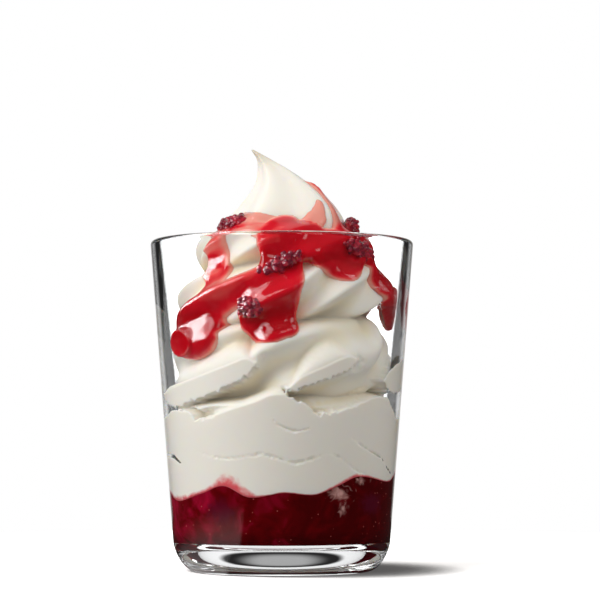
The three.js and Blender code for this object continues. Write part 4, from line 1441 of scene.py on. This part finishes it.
@dataclass(frozen=True)
class BerryPiece:
    """A crushed piece of berry: drupelets packed over a lumpy core.

    Attributes:
        number: Which of the CAD's pieces it is.
        azimuth, height: Where its middle is.
        off: How far its middle is from the cream.
        length, tall, depth: Half sizes.
        tilt: Degrees that its long way is turned from level.
    """

    number: int
    azimuth: float
    height: float
    off: float
    length: float
    tall: float
    depth: float
    tilt: float
    drupelet: float = 1.05
    drupelets: int = 38
    core_fit: float = 1  # the core lies this far inside the piece's outline
    sizes: Pair = (0.6, 1.1)  # smallest and largest drupelet, as shares
    heights: Pair = (0.8, 1.25)  # flattest and tallest drupelet, as shares
    shake: float = 0.35  # how far a drupelet is out of its place
    seed: int = 100
    voxel: float = 0.2
    crush: float = 0.35  # how far the whole is crushed out of shape
    crush_size: float = 1.6
    crush_seed: float = 5.0
    clear: float = 1.0  # room that the piece leaves to the glass

    def build(self, cream: SoftServe) -> bpy.types.Object:
        """Packs copies of one drupelet over a core and fuses them."""
        draw = np.random.default_rng(self.seed + self.number)
        bpy.ops.object.select_all(action="DESELECT")
        bpy.ops.mesh.primitive_ico_sphere_add(subdivisions=3, radius=1)
        core = bpy.context.object
        fit = self.core_fit
        shapes = [(Vector((0, 0, 0)), Vector((self.length - fit, self.depth - fit, self.tall - fit)))]
        for i in range(self.drupelets):
            up = 1 - 2 * (i + 0.5) / self.drupelets
            turn = i * math.pi * (3 - math.sqrt(5)) + self.number
            flat = math.sqrt(1 - up * up)
            size = self.drupelet * draw.uniform(*self.sizes)
            way = Vector((flat * math.cos(turn), flat * math.sin(turn), up))
            middle = Vector((
                way.x * (self.length - size), way.y * (self.depth - size), way.z * (self.tall - size)
            ))
            middle += Vector(draw.uniform(-self.shake, self.shake, 3))
            shapes.append((middle, Vector((size, size, size * draw.uniform(*self.heights)))))
        copies = []
        for middle, size in shapes:
            copy = core.copy()
            copy.data = core.data.copy()
            bpy.context.collection.objects.link(copy)
            copy.location, copy.scale = middle * MM, size * MM
            copies.append(copy)
        bpy.data.objects.remove(core)
        bpy.ops.object.select_all(action="DESELECT")
        for copy in copies:
            copy.select_set(True)
        piece = copies[0]
        bpy.context.view_layer.objects.active = piece
        bpy.ops.object.join()
        bpy.ops.object.transform_apply(location=True, rotation=True, scale=True)
        piece.name = piece.data.name = f"crushed_berry_{self.number}"
        apply_modifier(piece, "REMESH", mode="VOXEL", voxel_size=self.voxel * MM, use_smooth_shade=True)
        self.put_in_place(piece, cream)
        return piece

    def put_in_place(self, piece: bpy.types.Object, cream: SoftServe) -> None:
        """Turns the piece and moves it onto the sauce."""
        azimuth, height = np.array(self.azimuth, float), np.array(self.height, float)
        wall = float(cream.glass.bore(height))
        radius = min(float(cream.reach(azimuth, height)) + self.off, wall - self.depth - self.clear)
        middle = around(azimuth, radius, height, cream.middle(height)) * MM
        mesh = piece.data
        places = np.empty(len(mesh.vertices) * 3, dtype=np.float32)
        mesh.vertices.foreach_get("co", places)
        places = places.reshape(-1, 3)
        lumps = noise_at(places / MM, self.crush_size, self.crush_seed + self.number)[:, None]
        ways = places / np.maximum(np.linalg.norm(places, axis=1, keepdims=True), 1e-9)
        places = places + ways * lumps * self.crush * MM
        tilt, turn = math.radians(self.tilt), math.radians(self.azimuth)
        x = places[:, 0] * math.cos(tilt) + places[:, 2] * math.sin(tilt)
        z = places[:, 2] * math.cos(tilt) - places[:, 0] * math.sin(tilt)
        places = np.stack([
            x * math.cos(turn) - places[:, 1] * math.sin(turn),
            x * math.sin(turn) + places[:, 1] * math.cos(turn),
            z,
        ], axis=-1) + middle
        mesh.vertices.foreach_set("co", places.astype(np.float32).ravel())
        mesh.update()

    def dress(self, piece: bpy.types.Object, material: bpy.types.Material) -> None:
        """Gives the piece its finish."""
        place_piece(piece, "berry", material, f"berry_piece_{self.number}")


# Azimuth, height, distance from the cream, half length, half height, half depth, tilt
BERRIES = (
    (-61, 109.4, 1.6, 8, 3.2, 4.2, -8),
    (94, 109.8, 2.8, 3.6, 3, 3, 20),
    (60, 100, 2.4, 9.4, 3.7, 3.8, 14),
    (-2.5, 94.8, 2.2, 8.4, 3, 2.8, -28),
    (-17, 82, 2.5, 4.2, 3.5, 2.9, 35),
    (150, 105, 2.2, 4.6, 3, 3, 10),
    (-148, 97, 2.2, 4, 3, 2.8, -15),
)


# ---------- Studio ----------


@dataclass(frozen=True)
class Softbox:
    """A soft light.

    Attributes:
        name: Its name.
        place: Where its middle is, in metres.
        aim: What it points at.
        size: Its width and height.
        brightness: Radiance of its face.
        mirrored: Whether it shows in wet and polished surfaces.
        colour: Its colour.
    """

    name: str
    place: Triple
    size: Pair
    brightness: float
    mirrored: bool = True
    aim: Triple = (0, 0, 0.07)
    colour: Triple = (1, 1, 1)

    def build(self) -> bpy.types.Object:
        """Adds the light."""
        data = bpy.data.lights.new(self.name, "AREA")
        data.shape = "RECTANGLE"
        data.size, data.size_y = self.size
        data.energy = self.brightness * math.pi * self.size[0] * self.size[1]
        data.color = self.colour
        light = bpy.data.objects.new(self.name, data)
        bpy.context.scene.collection.objects.link(light)
        light.location = self.place
        light.rotation_euler = (Vector(self.aim) - light.location).to_track_quat("-Z", "Y").to_euler()
        light.visible_camera = False
        light.visible_glossy = self.mirrored
        return light


@dataclass(frozen=True)
class Studio:
    """A pale floor, soft lights, a white backdrop and the camera.

    Attributes:
        camera_place, camera_aim, focal: The camera.
        sensor, clip: Its width, and the nearest and farthest distances that it sees.
        floor_radius, floor_sides: Size of the floor, and how many sides it has.
        floor_albedo: How pale it is where it lights the object.
        floor_gain: How pale the camera sees it.
        shade_reach, shade_way, shade_samples: Its painted soft shadow, from an occlusion test towards the
            light: reach, way to the light, fineness.
        shade_ends, shade: Openness where the painted shadow is full and where it ends, and how pale it is.
        ambient_left, ambient_right: Light from the room on either side.
        sides: Between where it changes from one to the other.
        warmth: Colour of the light from the right.
        ceiling, ceiling_ends: Light from above for mirrored light.
        rising, steep: Where the backdrop begins for light in the wall of the glass, and where it ends.
        glow, glow_ends, glow_low, glow_high: Bright area at the left that the inside of the glass mirrors.
        through: Brightness of the backdrop through the glass.
        bent, bent_ends: Brightness above and below it, which the rounded rim shows.
        card_ends: Degrees to either side of the back where the backdrop ends for mirrored light.
        card_edge: Brightness of the backdrop in the outside of the glass.
        gloom: Brightness of the rest of the room for mirrored light.
        window: Brightness of the stretch of floor that glows in the outside of the glass: a painted
            reflection.
        window_ends: Azimuths where that stretch begins, is full, fades and ends.
        window_reach: Distances from the axis over which it ends.
        front, front_fade: Where the floor ends at the front in the mirror of the base, and how softly.
        under: Distance from the axis and brightness of the floor's glow in that mirror: painted light, dimmer
            under the middle of the base as painted shade.
        frame_ends, frame_low, frame_high: Dark frame behind the tumbler in that mirror.
        inset, inset_ends, inset_high: Grey card in the frame.
        softboxes: The soft lights.
        bounces: How often each kind of light may bounce.
    """

    camera_place: Triple = (0, -0.708, 0.048)
    camera_aim: Triple = (0.0058, 0, 0.0861)
    focal: float = 132.8
    sensor: float = 36
    clip: Pair = (0.01, 20)
    floor_radius: float = 0.26
    floor_sides: int = 128
    floor_albedo: float = 0.32
    floor_gain: float = 1.75
    shade_reach: float = 0.036
    shade_way: Triple = (-0.85, -0.1, 0.52)
    shade_samples: int = 24
    shade_ends: Pair = (0.5, 0.88)
    shade: float = 0.24
    ambient_left: float = 0.48
    ambient_right: float = 0.42
    sides: Pair = (-0.9, 0.9)
    warmth: Triple = (1, 0.965, 0.92)
    ceiling: float = 0.09
    ceiling_ends: Pair = (0.3, 0.9)
    rising: Pair = (0.08, 0.14)
    steep: Pair = (0.42, 0.55)
    glow: float = 13
    glow_ends: Pair = (0.66, 0.93)
    glow_low: Pair = (-0.12, 0.06)
    glow_high: Pair = (0.42, 0.58)
    through: float = 3.5
    bent: float = 0.2
    bent_ends: Pair = (0.15, 0.36)
    card_ends: Pair = (12, 26)
    card_edge: float = 0.5
    gloom: float = 0.02
    window: float = 0.75
    window_ends: tuple[float, float, float, float] = (-118, -46, -37, -33)
    window_reach: Pair = (0.08, 0.17)
    front: float = -60
    front_fade: float = 20
    under: Rows = ((0, 0.5), (14, 0.4), (20, 0.9), (27, 1), (31, 1.3), (36, 1.6))
    frame_ends: Pair = (28, 30)
    frame_low: Pair = (0.05, 0.08)
    frame_high: Pair = (0.17, 0.2)
    inset: float = 0.4
    inset_ends: Pair = (6, 22)
    inset_high: Pair = (0.125, 0.16)
    softboxes: tuple[Softbox, ...] = (
        Softbox("key", (-0.76, -0.40, 0.80), (0.9, 0.7), 3.7),
        Softbox("side", (-0.56, -0.30, 0.24), (0.6, 0.4), 1.2, mirrored=False),
        Softbox("window", (0.34, -0.70, 0.62), (0.34, 0.18), 2.4),
        Softbox("fill", (0.75, -0.20, 0.62), (0.5, 0.5), 2.2, mirrored=False),
    )
    bounces: tuple[tuple[str, int], ...] = (
        ("max_bounces", 20), ("transmission_bounces", 12), ("transparent_max_bounces", 16),
        ("glossy_bounces", 12), ("diffuse_bounces", 4),
    )

    def camera(self) -> None:
        """Adds the camera."""
        data = bpy.data.cameras.new("camera")
        data.lens, data.sensor_width = self.focal, self.sensor
        data.clip_start, data.clip_end = self.clip
        camera = bpy.data.objects.new("camera", data)
        bpy.context.scene.collection.objects.link(camera)
        camera.location = self.camera_place
        way = Vector(self.camera_aim) - camera.location
        camera.rotation_euler = way.to_track_quat("-Z", "Y").to_euler()
        bpy.context.scene.camera = camera

    def floor(self) -> None:
        """Adds the floor, with a painted shadow. In mirrors it glows instead of being lit: a painted
        reflection of its lit stretch in the outside of the glass, and painted light and shade under the base.
        """
        bpy.ops.object.select_all(action="DESELECT")
        bpy.ops.mesh.primitive_circle_add(
            vertices=self.floor_sides, radius=self.floor_radius, fill_type="NGON"
        )
        floor = bpy.context.object
        floor.name = "floor"
        material = bpy.data.materials.new("pale_floor")
        material.use_nodes = True
        nodes = Nodes(material.node_tree)
        path = nodes.add("LightPath").outputs
        shader = nodes.add("BsdfDiffuse")
        seen = nodes.math("MAXIMUM", path[Ray.CAMERA.value], path[Ray.TRANSMITTED.value])
        # Painted shadow: for the camera, the floor is darkened where it is closed off towards the light.
        lit = nodes.blend(self.painted_shadow_openness(nodes), self.shade, self.floor_gain)
        nodes.feed(shader.inputs["Color"], nodes.grey(nodes.blend(seen, self.floor_albedo, lit)))
        along = nodes.split(nodes.place())
        crossings = path["Transmission Depth"]
        outside = nodes.product(self.painted_lit_stretch(nodes, along), nodes.math("LESS_THAN", crossings, 1))
        inside = nodes.product(self.painted_under_base(nodes, along), nodes.math("COMPARE", crossings, 2, 0.5))
        # Painted light: in mirrors the floor glows by its place instead of being lit.
        dark = nodes.add("Emission")
        strength = nodes.math("ADD", nodes.math("ADD", outside, inside), self.gloom)
        nodes.feed(dark.inputs["Strength"], strength)
        mix = nodes.add("MixShader")
        nodes.feed(mix.inputs[0], nodes.math("GREATER_THAN", path["Glossy Depth"], 0))
        nodes.feed(mix.inputs[1], shader.outputs[0])
        nodes.feed(mix.inputs[2], dark.outputs[0])
        nodes.feed(material.node_tree.nodes["Material Output"].inputs["Surface"], mix.outputs[0])
        floor.data.materials.append(material)

    def painted_shadow_openness(self, nodes: Nodes) -> Socket:
        """How open the floor is towards the light, by an occlusion test: 0 in its painted soft shadow."""
        sky = nodes.add("AmbientOcclusion", samples=self.shade_samples)
        sky.inputs["Distance"].default_value = self.shade_reach
        way = nodes.add("CombineXYZ")
        for socket, value in zip(way.inputs, self.shade_way):
            socket.default_value = value
        nodes.feed(sky.inputs["Normal"], way.outputs[0])
        return nodes.rise(sky.outputs["AO"], *self.shade_ends)

    def painted_lit_stretch(self, nodes: Nodes, along: dict[str, Socket]) -> Socket:
        """Brightness of the floor's glow in the outside of the glass: a painted reflection of a lit stretch.
        """
        azimuth = nodes.math("ARCTAN2", along["X"], nodes.product(along["Y"], -1))
        first, full, fades, last = radians(self.window_ends)
        out = nodes.add("VectorMath", operation="LENGTH")
        nodes.feed(out.inputs[0], nodes.place())
        return nodes.product(
            nodes.rise(azimuth, first, full), nodes.fall(azimuth, fades, last), self.window,
            nodes.fall(out.outputs["Value"], *self.window_reach),
        )

    def painted_under_base(self, nodes: Nodes, along: dict[str, Socket]) -> Socket:
        """Brightness of the floor's glow in the mirror of the thick base: painted light, with painted shade
        under the middle of the base.
        """
        squares = (nodes.math("POWER", along[axis], 2) for axis in ("X", "Y"))
        out = nodes.math("SQRT", nodes.math("ADD", *squares))
        reach = self.under[-1][0]
        stops = [(r / reach, (level, level, level)) for r, level in self.under]
        level = nodes.ramp(nodes.math("DIVIDE", out, reach * MM), *stops)
        behind = nodes.rise(along["Y"], (self.front - self.front_fade) * MM, self.front * MM)
        return nodes.product(level, behind)

    def world(self) -> None:
        """Sets the surround: a white backdrop, dimmer light from the room, and dark in mirrors."""
        world = bpy.data.worlds.new("surround")
        world.use_nodes = True
        bpy.context.scene.world = world
        nodes = Nodes(world.node_tree)
        path = nodes.add("LightPath").outputs
        way = nodes.split(nodes.add("TexCoord").outputs["Generated"])
        aside = nodes.math("ABSOLUTE", nodes.math("ARCTAN2", way["X"], way["Y"]))
        card = nodes.fall(aside, *radians(self.card_ends))
        ceiling = nodes.product(nodes.rise(way["Z"], *self.ceiling_ends), self.ceiling)
        outer = nodes.math("ADD", nodes.math("MULTIPLY_ADD", card, self.card_edge, self.gloom), ceiling)
        in_wall = nodes.math("COMPARE", path["Transmission Depth"], 2, 0.5)
        dim = nodes.math("ADD", ceiling, self.gloom)
        inner = nodes.math("ADD", dim, self.glowing(nodes, way))
        inner = nodes.blend(in_wall, inner, self.guided(nodes, way, aside, card))
        bent = nodes.rise(nodes.math("ABSOLUTE", way["Z"]), *self.bent_ends)
        straight_on = nodes.blend(bent, self.through, self.bent)
        through = nodes.blend(nodes.math("MINIMUM", path["Glossy Depth"], 1), straight_on, inner)
        right = nodes.rise(way["X"], *self.sides)
        ambient = nodes.blend(right, self.ambient_left, self.ambient_right)
        reflected = nodes.product(path[Ray.REFLECTED.value], path[Ray.GLOSSY.value])
        strength = nodes.blend(reflected, ambient, outer)
        strength = nodes.blend(path[Ray.TRANSMITTED.value], strength, through)
        strength = nodes.blend(path[Ray.CAMERA.value], strength, 1.0)
        background = world.node_tree.nodes["Background"]
        straight = nodes.math("MAXIMUM", path[Ray.CAMERA.value], path[Ray.TRANSMITTED.value])
        warm = nodes.product(right, nodes.rest(straight))
        nodes.feed(background.inputs["Color"], nodes.mix(warm, (1, 1, 1, 1), (*self.warmth, 1)))
        nodes.feed(background.inputs["Strength"], strength)

    def glowing(self, nodes: Nodes, way: dict[str, Socket]) -> Socket:
        """Brightness of the bright area at the left."""
        return nodes.product(
            nodes.rise(nodes.product(way["X"], -1), *self.glow_ends),
            nodes.rise(way["Z"], *self.glow_low), nodes.fall(way["Z"], *self.glow_high), self.glow,
        )

    def guided(
        self, nodes: Nodes, way: dict[str, Socket], aside: Socket,
        card: Socket,
    ) -> Socket:
        """Brightness for light that the wall or the base of the glass mirrors inside.

        Args:
            nodes: The world's nodes.
            way: Where the light comes from.
            aside: How far that is from straight behind, in radians.
            card: 1 where the backdrop is, and 0 beside it.

        Returns:
            The brightness.
        """
        high = way["Z"]
        wide = nodes.math("MAXIMUM", card, nodes.rise(high, *self.rising))
        framed = nodes.product(
            nodes.fall(aside, *radians(self.frame_ends)), nodes.rise(high, *self.frame_low),
            nodes.fall(high, *self.frame_high),
        )
        inset = nodes.product(
            nodes.fall(aside, *radians(self.inset_ends)), nodes.fall(high, *self.inset_high), self.inset
        )
        level = nodes.fall(nodes.math("ABSOLUTE", high), *self.steep)
        return nodes.math("MULTIPLY_ADD", nodes.blend(framed, wide, inset), level, self.gloom)

    def build(self) -> None:
        """Builds the studio and sets the colour management and the bounces."""
        self.camera()
        self.floor()
        self.world()
        for softbox in self.softboxes:
            softbox.build()
        scene = bpy.context.scene
        scene.view_settings.view_transform = "Standard"
        scene.view_settings.look = "None"
        scene.cycles.use_denoising = True
        for setting, value in self.bounces:
            setattr(scene.cycles, setting, value)
        scene.cycles.caustics_reflective = False
        scene.cycles.caustics_refractive = False


# ---------- The sundae ----------


def main() -> None:
    """Builds the pieces in order."""
    logging.basicConfig(level=logging.INFO, format="%(message)s")
    Studio().build()
    GROUPS["fine_lumps"] = fine_lumps_group()
    GROUPS["torn_edge"] = torn_edge_group()
    glass = Tumbler()
    glass.dress(glass.build())
    cream = SoftServe(glass)
    cream.dress(cream.build())
    under = BottomSauce(glass, cream)
    under.dress(under.build())
    over = TopSauce(glass, cream)
    over.dress(over.build())
    berry_skin = BerryFinish().material()
    for number, row in enumerate(BERRIES, start=1):
        berry = BerryPiece(number, *row)
        berry.dress(berry.build(cream), berry_skin)


if __name__ == "__main__":
    main()
